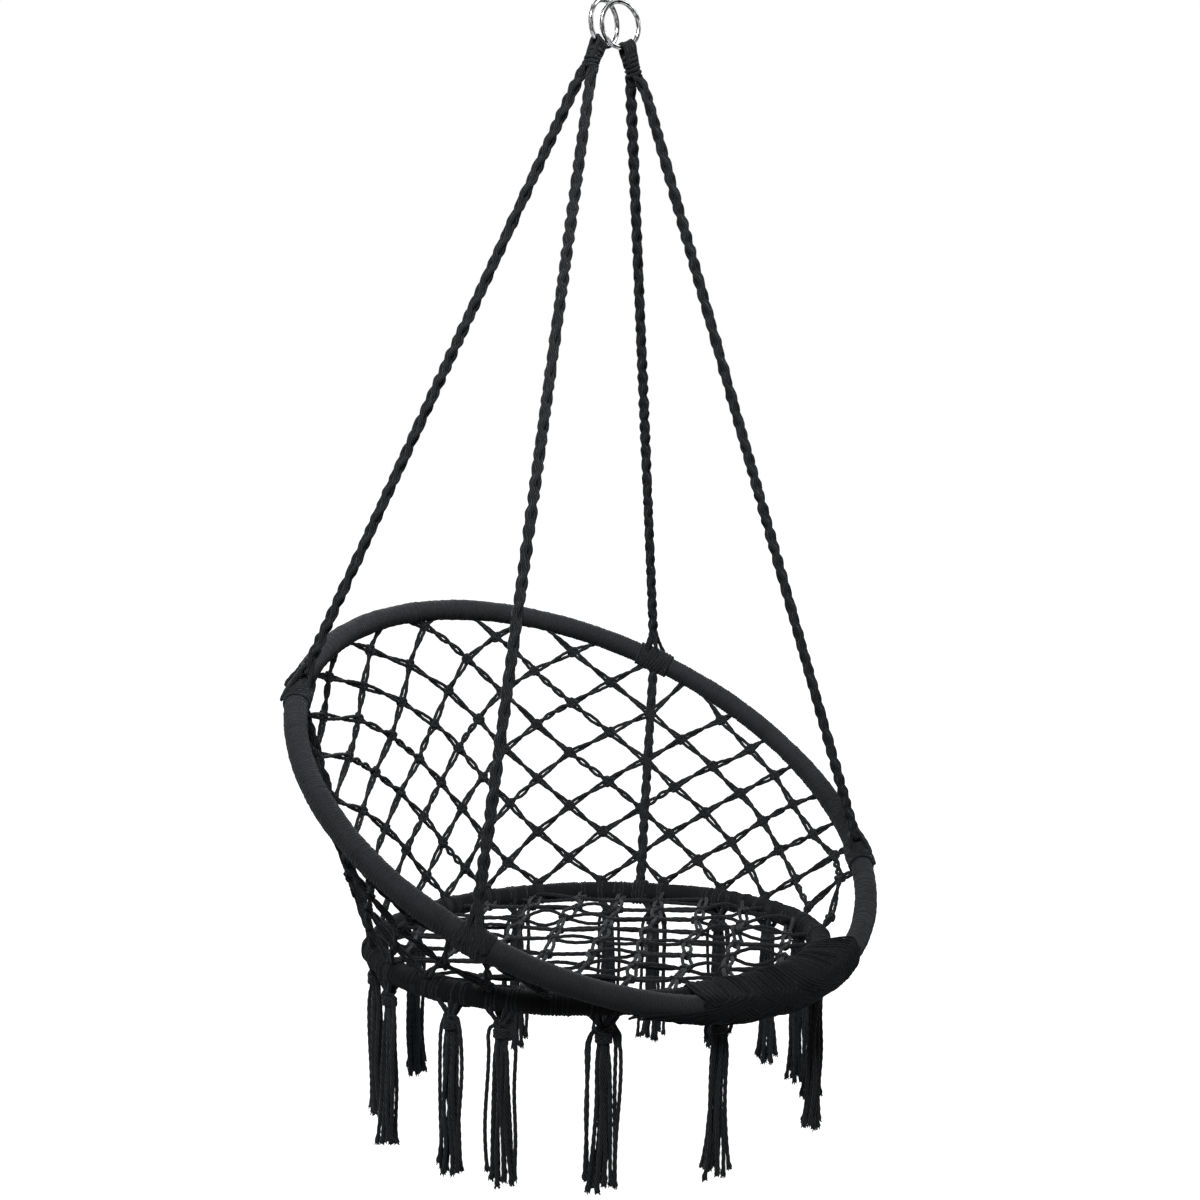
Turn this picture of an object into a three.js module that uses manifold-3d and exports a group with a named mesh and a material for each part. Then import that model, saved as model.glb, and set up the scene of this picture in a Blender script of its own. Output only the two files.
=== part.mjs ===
// Hanging hammock chair: two cord-wrapped steel hoops, lashed together at the front and joined by
// knotted nets, hung from two O-rings by four ropes, with tassels round the seat hoop.
// Millimetres, +Z up, -Y is the chair's open front. The origin is where a hook holds the O-rings.
import * as THREE from 'three';
import { mergeVertices } from 'three/addons/utils/BufferGeometryUtils.js';
import Module from 'manifold-3d';

const wasm = await Module();
wasm.setup();

// Hoops
const backHoopOuterDiameter = 800;
const seatHoopOuterDiameter = 594;
const hoopTubeDiameter = 22;
const hoopTubeWall = 1.5;
const backWrapThickness = 3;
const seatWrapThickness = 2.5;
const backHoopTiltDegrees = 33;
const hoopContactDropDegrees = 25;
const lashedHoopGap = 0.8;
const tubeEndGap = 0.6;
const jointPinLength = 60;
const hoopSteps = 36;
const hoopSides = 8;
const cutterSides = 8;

// Hanging: the O-rings, and the seat's place under them
const ringInnerDiameter = 49;
const ringWireDiameter = 6;
const ringSteps = 24;
const ringDepthOffset = 4.7;
const ringLeanDegrees = 23;
const rightRingYawDegrees = 8;
const leftRingYawDegrees = 11.6;
const hangHeightAboveSeat = 1168;
const hangPointForward = 37;
const seatLeanDegrees = 1.8;

// Ropes
const ropeDiameter = 13;
const headWidth = 11;
const headThroatClearance = 1.4;
const headMouthClearance = 4;
const headRimThickness = 1.3;
const headBoreSteps = 10;
const headLength = 41;
const ropeNeckLength = 22;
const ropePairGap = 0.7;
const ropeNeckShare = 0.08;
const ropeSteps = 11;
const backTieDegrees = 127.5;
const frontTieDegrees = 57.7;
const tailEndDegrees = 125.6;

// Windings: the ties of the ropes, and the lashing that binds the two hoops
const tieCordDiameter = 3.8;
const tiePitch = 6;
const tieEase = 0.5;
const tieLoops = 4;
const tieStepsPerLoop = 10;
const tieSides = 5;
const lashingCordDiameter = 3.6;
const lashingEase = 0.8;
const lashingLeftDegrees = 22;
const lashingRightDegrees = 28;
const lashingLoops = 20;
const lashingStepsPerLoop = 10;
const lashingSides = 5;

// Nets
const netCell = 59;
const strandWidth = 8;
const strandThickness = 4;
const firstRowHeight = 50;
const frontRowLift = 32;
const sideRowPitch = 34.5;
const backRowPitch = 41;
const hoopRowHeight = 15;
const topRowClearance = 24;
const seatRimClearance = 24;
const netRowCount = 9;
const seatNetTurnDegrees = -4.8;
// The back net is pulled askew on its left: to one side below, to the other above, and up at the middle
const skewLowDegrees = -4.6;
const skewTopDegrees = 8.5;
const skewFromDegrees = 150;
const skewFullDegrees = 205;
const skewFadeDegrees = [225, 250];
const skewTopShares = [0.6, 0.95];
const pullUp = 13;
const pullUpDegrees = [164, 178, 194];
// Angles round the seat from the front, one for each column of knots, right side first
const frontEdgeDegrees = 52;
const rightColumnDegrees = [59.2, 66, 76, 85.5, 93, 101, 110, 119];
const backColumnDegrees = [137, 146.5, 155.5, 164, 171.7, 179, 186, 193.3, 201, 209.3, 219];

// Tassels
const tasselLength = 215;
const tasselTopDrop = 6;
const tasselShoulderRadius = 15;
const tasselKnotRadius = 8.5;
const tasselKnotDrop = 31;
const tasselKnotHeight = 12;
const tasselSkirtRadius = 17;
const tasselLobes = 4;
const tasselFluteShare = 0.74;
const tasselDegrees = [
  -161, -125, -105, -79, -65, -41, -13, 30, 52, 67, 82.5, 101, 121.5, 134.5, 161.5,
];

const clearance = 0.3;

// Derived sizes
const radiansPerDegree = THREE.MathUtils.degToRad(1);
const tubeRadius = hoopTubeDiameter / 2;
const backWrapRadius = tubeRadius + backWrapThickness;
const seatWrapRadius = tubeRadius + seatWrapThickness;
const backHoopRadius = backHoopOuterDiameter / 2 - backWrapRadius;
const seatHoopRadius = seatHoopOuterDiameter / 2 - seatWrapRadius;
const backTilt = THREE.MathUtils.degToRad(backHoopTiltDegrees);
const hoopSpacing = backWrapRadius + seatWrapRadius + lashedHoopGap;
const ringRadius = (ringInnerDiameter + ringWireDiameter) / 2;
const ringWireRadius = ringWireDiameter / 2;
const ropeRadius = ropeDiameter / 2;

const cotton = () => new THREE.MeshStandardMaterial({ color: 0x212325, roughness: 0.92, metalness: 0 });
const steel = () => new THREE.MeshStandardMaterial({ color: 0x8c9094, roughness: 0.45, metalness: 1 });
const chrome = () => new THREE.MeshStandardMaterial({ color: 0xd6d8da, roughness: 0.12, metalness: 1 });

// The chair leans back a little, so that its weight hangs straight below the rings
const lean = new THREE.Matrix4().makeRotationX(-THREE.MathUtils.degToRad(seatLeanDegrees));
const chairMatrix = lean.clone().multiply(
  new THREE.Matrix4().makeTranslation(0, hangPointForward, -hangHeightAboveSeat));
const chair = new THREE.Group();
chair.applyMatrix4(chairMatrix);
const hanger = new THREE.Group();
const assembly = new THREE.Group();
assembly.add(chair, hanger);

function addPiece(parent, name, geometry, material) {
  const mesh = new THREE.Mesh(geometry, material);
  mesh.name = name;
  parent.add(mesh);
  return mesh;
}

// Solids for cutting

function toSolid(geometry) {
  const bare = geometry.clone();
  bare.deleteAttribute('normal');
  bare.deleteAttribute('uv');
  const merged = mergeVertices(bare);
  const vertProperties = new Float32Array(merged.attributes.position.array);
  const triVerts = new Uint32Array(merged.index.array);
  return new wasm.Manifold(new wasm.Mesh({ numProp: 3, vertProperties, triVerts }));
}

function toGeometry(solid) {
  const mesh = solid.getMesh();
  const geometry = new THREE.BufferGeometry();
  geometry.setAttribute('position', new THREE.BufferAttribute(new Float32Array(mesh.vertProperties), 3));
  geometry.setIndex(new THREE.BufferAttribute(new Uint32Array(mesh.triVerts), 1));
  geometry.computeVertexNormals();
  return geometry;
}

function largestBodies(solid, count) {
  const bodies = solid.decompose();
  bodies.sort((a, b) => b.volume() - a.volume());
  return bodies.slice(0, count);
}

function cutAway(solid, cutters) {
  return cutters.reduce((rest, cutter) => rest.subtract(cutter), solid);
}

function meshFromFaces(points, faces) {
  const geometry = new THREE.BufferGeometry();
  const coordinates = points.flatMap((p) => [p.x, p.y, p.z]);
  geometry.setAttribute('position', new THREE.Float32BufferAttribute(coordinates, 3));
  geometry.setIndex(faces);
  geometry.computeVertexNormals();
  return geometry;
}

// Hoops, each in its own plane, with angles counted from the front (-Y) towards +X

function hoopDirection(angle) {
  return new THREE.Vector3(Math.sin(angle), -Math.cos(angle), 0);
}

// A point on the hoop as it is faceted, so that what is wound on it follows its flats
function hoopPoint(radius, angle) {
  const half = Math.PI / hoopSteps;
  const offset = THREE.MathUtils.euclideanModulo(angle, 2 * half) - half;
  return hoopDirection(angle).multiplyScalar((radius * Math.cos(half)) / Math.cos(offset));
}

const backFront = new THREE.Vector3(
  0,
  -seatHoopRadius - hoopSpacing * Math.cos(THREE.MathUtils.degToRad(hoopContactDropDegrees)),
  -hoopSpacing * Math.sin(THREE.MathUtils.degToRad(hoopContactDropDegrees)),
);
const backCentre = backFront.clone().add(
  new THREE.Vector3(0, Math.cos(backTilt), Math.sin(backTilt)).multiplyScalar(backHoopRadius),
);
const backHoop = new THREE.Group();
backHoop.position.copy(backCentre);
backHoop.rotation.x = backTilt;
backHoop.updateMatrix();
chair.add(backHoop);

function seatPoint(angle) {
  return hoopPoint(seatHoopRadius, angle);
}

function backPoint(angle) {
  return hoopPoint(backHoopRadius, angle).applyMatrix4(backHoop.matrix);
}

function backFrame(angle) {
  const out = hoopDirection(angle).transformDirection(backHoop.matrix);
  const axis = new THREE.Vector3(0, 0, 1).transformDirection(backHoop.matrix);
  return { out, axis };
}

// A bent bar through the angles given, or a shell when it has an inner radius
function hoopGeometry(hoopRadius, outerRadius, innerRadius, stations) {
  const count = stations.length - 1;
  const points = [];
  const radii = innerRadius > 0 ? [outerRadius, innerRadius] : [outerRadius];
  for (const sectionRadius of radii) {
    for (const angle of stations) {
      for (let side = 0; side < hoopSides; side += 1) {
        const turn = ((side + 0.5) * 2 * Math.PI) / hoopSides;
        const point = hoopPoint(hoopRadius + sectionRadius * Math.cos(turn), angle);
        point.z = -sectionRadius * Math.sin(turn);
        points.push(point);
      }
    }
  }
  const faces = [];
  const layer = stations.length * hoopSides;
  const at = (shell, station, side) => shell * layer + station * hoopSides + (side % hoopSides);
  for (let station = 0; station < count; station += 1) {
    for (let side = 0; side < hoopSides; side += 1) {
      const a = at(0, station, side);
      const b = at(0, station, side + 1);
      const c = at(0, station + 1, side + 1);
      const d = at(0, station + 1, side);
      faces.push(a, b, c, a, c, d);
      if (innerRadius > 0) {
        faces.push(a + layer, c + layer, b + layer, a + layer, d + layer, c + layer);
      }
    }
  }
  const last = count;
  for (let side = 0; side < hoopSides; side += 1) {
    if (innerRadius > 0) {
      const a = at(0, 0, side);
      const b = at(0, 0, side + 1);
      faces.push(a, b + layer, b, a, a + layer, b + layer);
      const c = at(0, last, side);
      const d = at(0, last, side + 1);
      faces.push(c, d, d + layer, c, d + layer, c + layer);
    } else if (side > 0 && side < hoopSides - 1) {
      faces.push(at(0, 0, 0), at(0, 0, side + 1), at(0, 0, side));
      faces.push(at(0, last, 0), at(0, last, side), at(0, last, side + 1));
    }
  }
  return meshFromFaces(points, faces);
}

function closedHoopSolid(hoopRadius, sectionRadius) {
  const outerRadius = sectionRadius / Math.cos(Math.PI / cutterSides);
  return toSolid(new THREE.TorusGeometry(hoopRadius, outerRadius, cutterSides, hoopSteps));
}

// Each hoop is bent from one length of tube, its ends meeting over a pin at the front
function addHoop(parent, prefix, hoopRadius, wrapRadius) {
  const slit = tubeEndGap / hoopRadius / 2;
  const pinEnd = jointPinLength / hoopRadius / 2;
  const full = 2 * Math.PI;
  const stations = [slit];
  for (let k = 1; k < hoopSteps; k += 1) stations.push((k * full) / hoopSteps);
  stations.push(full - slit);
  const boreRadius = tubeRadius - hoopTubeWall;
  addPiece(parent, `${prefix}_tube`, hoopGeometry(hoopRadius, tubeRadius, boreRadius, stations), steel());
  addPiece(parent, `${prefix}_wrap`,
    hoopGeometry(hoopRadius, wrapRadius, tubeRadius + clearance, stations), cotton());
  addPiece(parent, `${prefix}_joint_pin`,
    hoopGeometry(hoopRadius, boreRadius - clearance, 0, [-pinEnd, 0, pinEnd]), steel());
}

addHoop(backHoop, 'back_hoop', backHoopRadius, backWrapRadius);
const seatHoop = new THREE.Group();
chair.add(seatHoop);
addHoop(seatHoop, 'seat_hoop', seatHoopRadius, seatWrapRadius);

const backHoopCutter = closedHoopSolid(backHoopRadius, backWrapRadius + clearance)
  .transform(backHoop.matrix.elements);
const seatHoopCutter = closedHoopSolid(seatHoopRadius, seatWrapRadius + clearance);

// Windings: one unbroken cord along a list of points

function windingGeometry(points, cordRadius, sides) {
  const rings = [];
  let across = null;
  points.forEach((point, k) => {
    const before = points[Math.max(k - 1, 0)];
    const after = points[Math.min(k + 1, points.length - 1)];
    const tangent = new THREE.Vector3().subVectors(after, before).normalize();
    if (!across) {
      across = new THREE.Vector3(0, 0, 1).cross(tangent);
      if (across.lengthSq() < 0.1) across = new THREE.Vector3(1, 0, 0).cross(tangent);
    }
    across.addScaledVector(tangent, -across.dot(tangent)).normalize();
    const up = new THREE.Vector3().crossVectors(tangent, across);
    for (let side = 0; side < sides; side += 1) {
      const turn = (side * 2 * Math.PI) / sides;
      rings.push(point.clone()
        .addScaledVector(across, cordRadius * Math.cos(turn))
        .addScaledVector(up, cordRadius * Math.sin(turn)));
    }
  });
  const faces = [];
  const at = (station, side) => station * sides + (side % sides);
  const last = points.length - 1;
  for (let station = 0; station < last; station += 1) {
    for (let side = 0; side < sides; side += 1) {
      faces.push(at(station, side), at(station, side + 1), at(station + 1, side + 1));
      faces.push(at(station, side), at(station + 1, side + 1), at(station + 1, side));
    }
  }
  for (let side = 1; side < sides - 1; side += 1) {
    faces.push(at(0, 0), at(0, side + 1), at(0, side));
    faces.push(at(last, 0), at(last, side), at(last, side + 1));
  }
  return meshFromFaces(rings, faces);
}

function printLeastGap(name, points, cordDiameter, stepsPerLoop) {
  let least = Infinity;
  for (let i = 0; i < points.length; i += 1) {
    for (let j = i + Math.floor(stepsPerLoop / 2); j < points.length; j += 1) {
      least = Math.min(least, points[i].distanceTo(points[j]));
    }
  }
  console.log(`${name} least gap to itself ${(least - cordDiameter).toFixed(2)} mm`);
}

// A tie winds round the back hoop, centred where its rope comes down
function tiePoints(angle) {
  const coilRadius = backWrapRadius + tieEase + tieCordDiameter / 2;
  const faceting = Math.cos(Math.PI / tieStepsPerLoop);
  const count = tieLoops * tieStepsPerLoop;
  const points = [];
  for (let k = 0; k <= count; k += 1) {
    const share = k / count;
    const advance = (share - 0.5) * tieLoops * tiePitch;
    const stationAngle = angle + advance / backHoopRadius;
    const { out, axis } = backFrame(stationAngle);
    const turn = share * tieLoops * 2 * Math.PI + Math.PI;
    points.push(backPoint(stationAngle)
      .addScaledVector(out, (coilRadius / faceting) * Math.cos(turn))
      .addScaledVector(axis, (coilRadius / faceting) * Math.sin(turn)));
  }
  return points;
}

// The back hoop's angle that stands straight outside a given angle of the seat hoop
function backAngleFacing(seatAngle) {
  const sideways = Math.cos(seatAngle);
  const forwards = Math.cos(backTilt) * Math.sin(seatAngle);
  const offset = (backCentre.y * Math.sin(seatAngle)) / backHoopRadius / Math.hypot(sideways, forwards);
  return Math.atan2(forwards, sideways) - Math.asin(offset);
}

// The lashing runs round both hoops in an oval about their two centre lines
function lashingPoints() {
  const count = lashingLoops * lashingStepsPerLoop;
  const coilRadius = backWrapRadius + lashingEase + lashingCordDiameter / 2;
  const reach = coilRadius / Math.cos(Math.PI / lashingStepsPerLoop);
  const points = [];
  for (let k = 0; k <= count; k += 1) {
    const share = k / count;
    const seatDegrees = THREE.MathUtils.lerp(-lashingLeftDegrees, lashingRightDegrees, share);
    const seatAngle = seatDegrees * radiansPerDegree;
    const inner = seatPoint(seatAngle);
    const outer = backPoint(backAngleFacing(seatAngle));
    const toOuter = new THREE.Vector3().subVectors(outer, inner).normalize();
    const upward = toOuter.clone().cross(new THREE.Vector3(Math.cos(seatAngle), Math.sin(seatAngle), 0));
    const turn = share * lashingLoops * 2 * Math.PI + Math.PI / 2 + Math.PI / lashingStepsPerLoop;
    const centre = Math.cos(turn) > 0 ? outer : inner;
    points.push(centre.clone()
      .addScaledVector(toOuter, reach * Math.cos(turn))
      .addScaledVector(upward, reach * Math.sin(turn)));
  }
  return points;
}

const lashingRoute = lashingPoints();
printLeastGap('front_lashing', lashingRoute, lashingCordDiameter, lashingStepsPerLoop);
addPiece(chair, 'front_lashing',
  windingGeometry(lashingRoute, lashingCordDiameter / 2, lashingSides), cotton());
const lashingCutter = toSolid(
  windingGeometry(lashingRoute, lashingCordDiameter / 2 + clearance, lashingSides));

const tieAngles = {
  back_left: -THREE.MathUtils.degToRad(backTieDegrees),
  back_right: THREE.MathUtils.degToRad(backTieDegrees),
  front_left: -THREE.MathUtils.degToRad(frontTieDegrees),
  front_right: THREE.MathUtils.degToRad(frontTieDegrees),
};
const tieCutters = {};
for (const [corner, angle] of Object.entries(tieAngles)) {
  const route = tiePoints(angle);
  printLeastGap(`rope_tie_${corner}`, route, tieCordDiameter, tieStepsPerLoop);
  addPiece(chair, `rope_tie_${corner}`, windingGeometry(route, tieCordDiameter / 2, tieSides), cotton());
  tieCutters[corner] = toSolid(windingGeometry(route, tieCordDiameter / 2 + clearance, tieSides));
}

// O-rings, leaning apart on the hook, each with a rope head looped over its lowest point

function ringPlacement(side) {
  const yaw = THREE.MathUtils.degToRad(side > 0 ? -rightRingYawDegrees : leftRingYawDegrees);
  const lean = THREE.MathUtils.degToRad(ringLeanDegrees) * side;
  const across = new THREE.Vector3(Math.cos(yaw), Math.sin(yaw), 0);
  const away = across.clone().multiplyScalar(Math.sin(lean));
  away.z = -Math.cos(lean);
  const top = new THREE.Vector3(0, -side * ringDepthOffset, 0);
  const centre = top.addScaledVector(away, ringInnerDiameter / 2);
  const normal = new THREE.Vector3().crossVectors(across, new THREE.Vector3(0, 0, 1)).normalize();
  const wire = new THREE.Vector3().crossVectors(normal, away).normalize();
  return { centre, away, normal, wire, seat: centre.clone().addScaledVector(away, ringRadius) };
}

function frameMatrix(xAxis, yAxis, zAxis, origin) {
  return new THREE.Matrix4().makeBasis(xAxis, yAxis, zAxis).setPosition(origin);
}

function addRing(name, placement) {
  const { centre, away, normal, wire } = placement;
  const ring = addPiece(hanger, name,
    new THREE.TorusGeometry(ringRadius, ringWireRadius, hoopSides, ringSteps), chrome());
  ring.applyMatrix4(frameMatrix(wire, away.clone().negate(), normal.clone(), centre));
}

// A rope head is a band of merged rope: an eye round the ring's wire, widening to two ropes below.
// The eye hangs down until the throat of its bell-mouthed bore rests on the wire.
const headThroatRadius = ringWireRadius + headThroatClearance;
const headDrop = headThroatRadius * Math.cos(Math.PI / headBoreSteps) - ringWireRadius - clearance;

function headBore(mouthRadius) {
  const profile = [
    [0, -headWidth], [mouthRadius, -headWidth], [mouthRadius, -headWidth / 2], [headThroatRadius, 0],
    [mouthRadius, headWidth / 2], [mouthRadius, headWidth], [0, headWidth],
  ].map(([radius, along]) => new THREE.Vector2(radius, along));
  const bore = new THREE.LatheGeometry(profile, headBoreSteps);
  bore.rotateX(Math.PI / 2);
  return toSolid(bore);
}

function headGeometry() {
  const mouthRadius = ringWireRadius + headMouthClearance;
  const eyeRadius = mouthRadius + headRimThickness;
  const footHalf = ropeDiameter + ropePairGap / 2;
  const footTop = -headLength + ropeRadius;
  const outline = new THREE.Shape();
  outline.moveTo(-footHalf, -headLength);
  outline.lineTo(footHalf, -headLength);
  outline.lineTo(footHalf, footTop);
  outline.lineTo(eyeRadius, -eyeRadius);
  outline.absarc(0, 0, eyeRadius, 0, Math.PI, false);
  outline.lineTo(-eyeRadius, -eyeRadius);
  outline.lineTo(-footHalf, footTop);
  outline.closePath();
  const band = new THREE.ExtrudeGeometry(
    outline, { depth: headWidth, bevelEnabled: false, curveSegments: headBoreSteps / 2 });
  band.translate(0, 0, -headWidth / 2);
  return toGeometry(toSolid(band).subtract(headBore(mouthRadius)));
}

function ropeSection(radius) {
  const section = new THREE.Shape();
  const sides = hoopSides;
  for (let side = 0; side < sides; side += 1) {
    const turn = ((side + 0.5) * 2 * Math.PI) / sides;
    const x = radius * Math.cos(turn);
    const y = radius * Math.sin(turn);
    if (side === 0) section.moveTo(x, y);
    else section.lineTo(x, y);
  }
  section.closePath();
  return section;
}

function ropeGeometry(route, radius, steps) {
  const curve = new THREE.CatmullRomCurve3(route);
  return new THREE.ExtrudeGeometry(ropeSection(radius), { steps, bevelEnabled: false, extrudePath: curve });
}

function addRopePair(sideName, side, placement) {
  const backCorner = `back_${sideName}`;
  const frontCorner = `front_${sideName}`;
  const { seat, wire } = placement;
  const backTie = backPoint(tieAngles[backCorner]).applyMatrix4(chairMatrix);
  const frontTie = backPoint(tieAngles[frontCorner]).applyMatrix4(chairMatrix);
  const pull = new THREE.Vector3().subVectors(backTie, seat).normalize()
    .add(new THREE.Vector3().subVectors(frontTie, seat).normalize()).normalize();
  const up = pull.clone().negate();
  up.addScaledVector(wire, -up.dot(wire)).normalize();
  const backward = new THREE.Vector3().crossVectors(up, wire).normalize();
  const eye = seat.clone().addScaledVector(up, -headDrop);
  const head = addPiece(hanger, `rope_head_${sideName}`, headGeometry(), cotton());
  head.applyMatrix4(frameMatrix(backward, up, wire.clone().negate(), eye));
  const foot = eye.clone().addScaledVector(up, -headLength - clearance);
  const pairOffset = ropeRadius + ropePairGap / 2;
  const ends = [[backCorner, backTie, backward, 1], [frontCorner, frontTie, backward, -1]];
  for (const [corner, tie, across, sign] of ends) {
    const start = foot.clone().addScaledVector(across, sign * pairOffset);
    const neck = start.clone().addScaledVector(up, -ropeNeckLength);
    const toTie = new THREE.Vector3().subVectors(tie, neck);
    const route = [start, neck, neck.clone().addScaledVector(toTie, ropeNeckShare), tie];
    const rope = toSolid(ropeGeometry(route, ropeRadius, ropeSteps));
    const cutters = [backHoopCutter, tieCutters[corner]];
    const placed = cutters.map((cutter) => cutter.transform(chairMatrix.elements));
    const [trimmed] = largestBodies(cutAway(rope, placed), 1);
    addPiece(hanger, `hanging_rope_${corner}`, toGeometry(trimmed), cotton());
  }
}

const rightRing = ringPlacement(1);
const leftRing = ringPlacement(-1);
addRing('o_ring_right', rightRing);
addRing('o_ring_left', leftRing);
addRopePair('right', 1, rightRing);
addRopePair('left', -1, leftRing);

// Tail ropes carry on from the back ties down to the seat hoop

function tailRoute(side) {
  const top = backPoint(side * THREE.MathUtils.degToRad(backTieDegrees));
  const bottom = seatPoint(side * THREE.MathUtils.degToRad(tailEndDegrees));
  return new THREE.LineCurve3(top, bottom);
}

const tailCutters = [];
for (const [sideName, side] of [['right', 1], ['left', -1]]) {
  const line = tailRoute(side);
  const extrude = (radius) => toSolid(
    new THREE.ExtrudeGeometry(ropeSection(radius), { steps: 1, bevelEnabled: false, extrudePath: line }));
  const cutters = [backHoopCutter, seatHoopCutter, tieCutters[`back_${sideName}`]];
  const [trimmed] = largestBodies(cutAway(extrude(ropeRadius), cutters), 1);
  addPiece(chair, `tail_rope_${sideName}`, toGeometry(trimmed), cotton());
  tailCutters.push(extrude(ropeRadius + clearance));
}

// Nets. A knot is a square plate with four corners, clockwise from the top, and four sides between.
// Flat strands join the facing sides of neighbouring knots and leave a diamond hole between.

function netGeometry(knots, strands) {
  const reach = strandWidth / Math.SQRT2;
  const points = [];
  const faces = [];
  const corners = 4;
  knots.forEach(({ place, up, right }) => {
    const normal = new THREE.Vector3().crossVectors(right, up);
    for (const sign of [1, -1]) {
      for (const corner of [up, right, up.clone().negate(), right.clone().negate()]) {
        points.push(place.clone().addScaledVector(corner, reach)
          .addScaledVector(normal, (sign * strandThickness) / 2));
      }
    }
  });
  const frontCorner = (knot, index) => 2 * corners * knot + (index % corners);
  const addPlate = (outline) => {
    const back = outline.map((index) => index + corners);
    faces.push(outline[0], outline[1], outline[2], outline[0], outline[2], outline[3]);
    faces.push(back[0], back[2], back[1], back[0], back[3], back[2]);
  };
  const addWall = (p, q) => faces.push(p, p + corners, q + corners, p, q + corners, q);
  const used = new Set();
  for (const { from, to, side } of strands) {
    const facing = (side + 2) % corners;
    used.add(`${from} ${side}`).add(`${to} ${facing}`);
    const outline = [
      frontCorner(from, side), frontCorner(from, side + 1),
      frontCorner(to, facing), frontCorner(to, facing + 1),
    ];
    addPlate(outline);
    addWall(outline[1], outline[2]);
    addWall(outline[3], outline[0]);
  }
  knots.forEach((_, knot) => {
    addPlate([3, 2, 1, 0].map((index) => frontCorner(knot, index)));
    for (let side = 0; side < corners; side += 1) {
      if (!used.has(`${knot} ${side}`)) addWall(frontCorner(knot, side + 1), frontCorner(knot, side));
    }
  });
  return meshFromFaces(points, faces);
}

// The ends that run into a hoop may cross there, so they are joined to the net one by one
function netSolid(knots, strands, ends) {
  const whole = toSolid(netGeometry(knots, strands));
  return ends.reduce(
    (net, { from, to, side }) => net.add(toSolid(netGeometry([from, to], [{ from: 0, to: 1, side }]))),
    whole);
}

// The nets between the hoops: columns of knots up the straight lines that join the two hoops

const leftColumnDegrees = rightColumnDegrees.map((degrees) => 360 - degrees).reverse();
const columnAngles = [
  frontEdgeDegrees, ...rightColumnDegrees, backTieDegrees, ...backColumnDegrees,
  360 - backTieDegrees, ...leftColumnDegrees, 360 - frontEdgeDegrees,
].map((degrees) => degrees * radiansPerDegree);

function netLine(angle) {
  const bottom = seatPoint(angle);
  const top = backPoint(angle);
  return { bottom, length: bottom.distanceTo(top), up: top.sub(bottom).normalize() };
}

// How far a knot of an even net is moved round the hoops, and up, by the askew pull of its cords
function netSkew(angle, share) {
  const degrees = angle / radiansPerDegree;
  const top = THREE.MathUtils.smoothstep(share, ...skewTopShares);
  const leftShare = THREE.MathUtils.smoothstep(degrees, skewFromDegrees, skewFullDegrees)
    * (1 - THREE.MathUtils.smoothstep(degrees, ...skewFadeDegrees));
  const [start, middle, end] = pullUpDegrees;
  const middleShare = THREE.MathUtils.smoothstep(degrees, start, middle)
    * (1 - THREE.MathUtils.smoothstep(degrees, middle, end));
  const held = share < 1 ? 1 : 0;
  return {
    turn: leftShare * (skewLowDegrees * Math.sin(Math.PI * share) + skewTopDegrees * top) * radiansPerDegree,
    lift: pullUp * middleShare * top * held,
  };
}

function netKnot(evenAngle, evenHeight) {
  const evenLength = netLine(evenAngle).length;
  const { turn, lift } = netSkew(evenAngle, evenHeight / evenLength);
  const angle = evenAngle + turn;
  const { bottom, length, up } = netLine(angle);
  const height = ((evenHeight + lift) * length) / evenLength;
  const sample = 0.01;
  const ahead = netLine(angle + sample);
  const place = bottom.clone().addScaledVector(up, height);
  const right = ahead.bottom.clone().addScaledVector(ahead.up, height).sub(place).normalize();
  right.addScaledVector(up, -right.dot(up)).normalize();
  return { place, up, right };
}

function rowHeight(angle, row) {
  const fromFront = Math.min(angle, 2 * Math.PI - angle);
  const backShare = THREE.MathUtils.smoothstep(fromFront, (2 * Math.PI) / 3, Math.PI);
  const pitch = THREE.MathUtils.lerp(sideRowPitch, backRowPitch, backShare);
  const frontShare = 1 - THREE.MathUtils.smoothstep(
    fromFront, rightColumnDegrees[0] * radiansPerDegree, rightColumnDegrees[2] * radiansPerDegree);
  const lift = frontRowLift * frontShare;
  if (row === netRowCount) return hoopRowHeight + (lift * hoopRowHeight) / frontRowLift;
  return firstRowHeight + lift + (netRowCount - 1 - row) * pitch;
}

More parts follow.
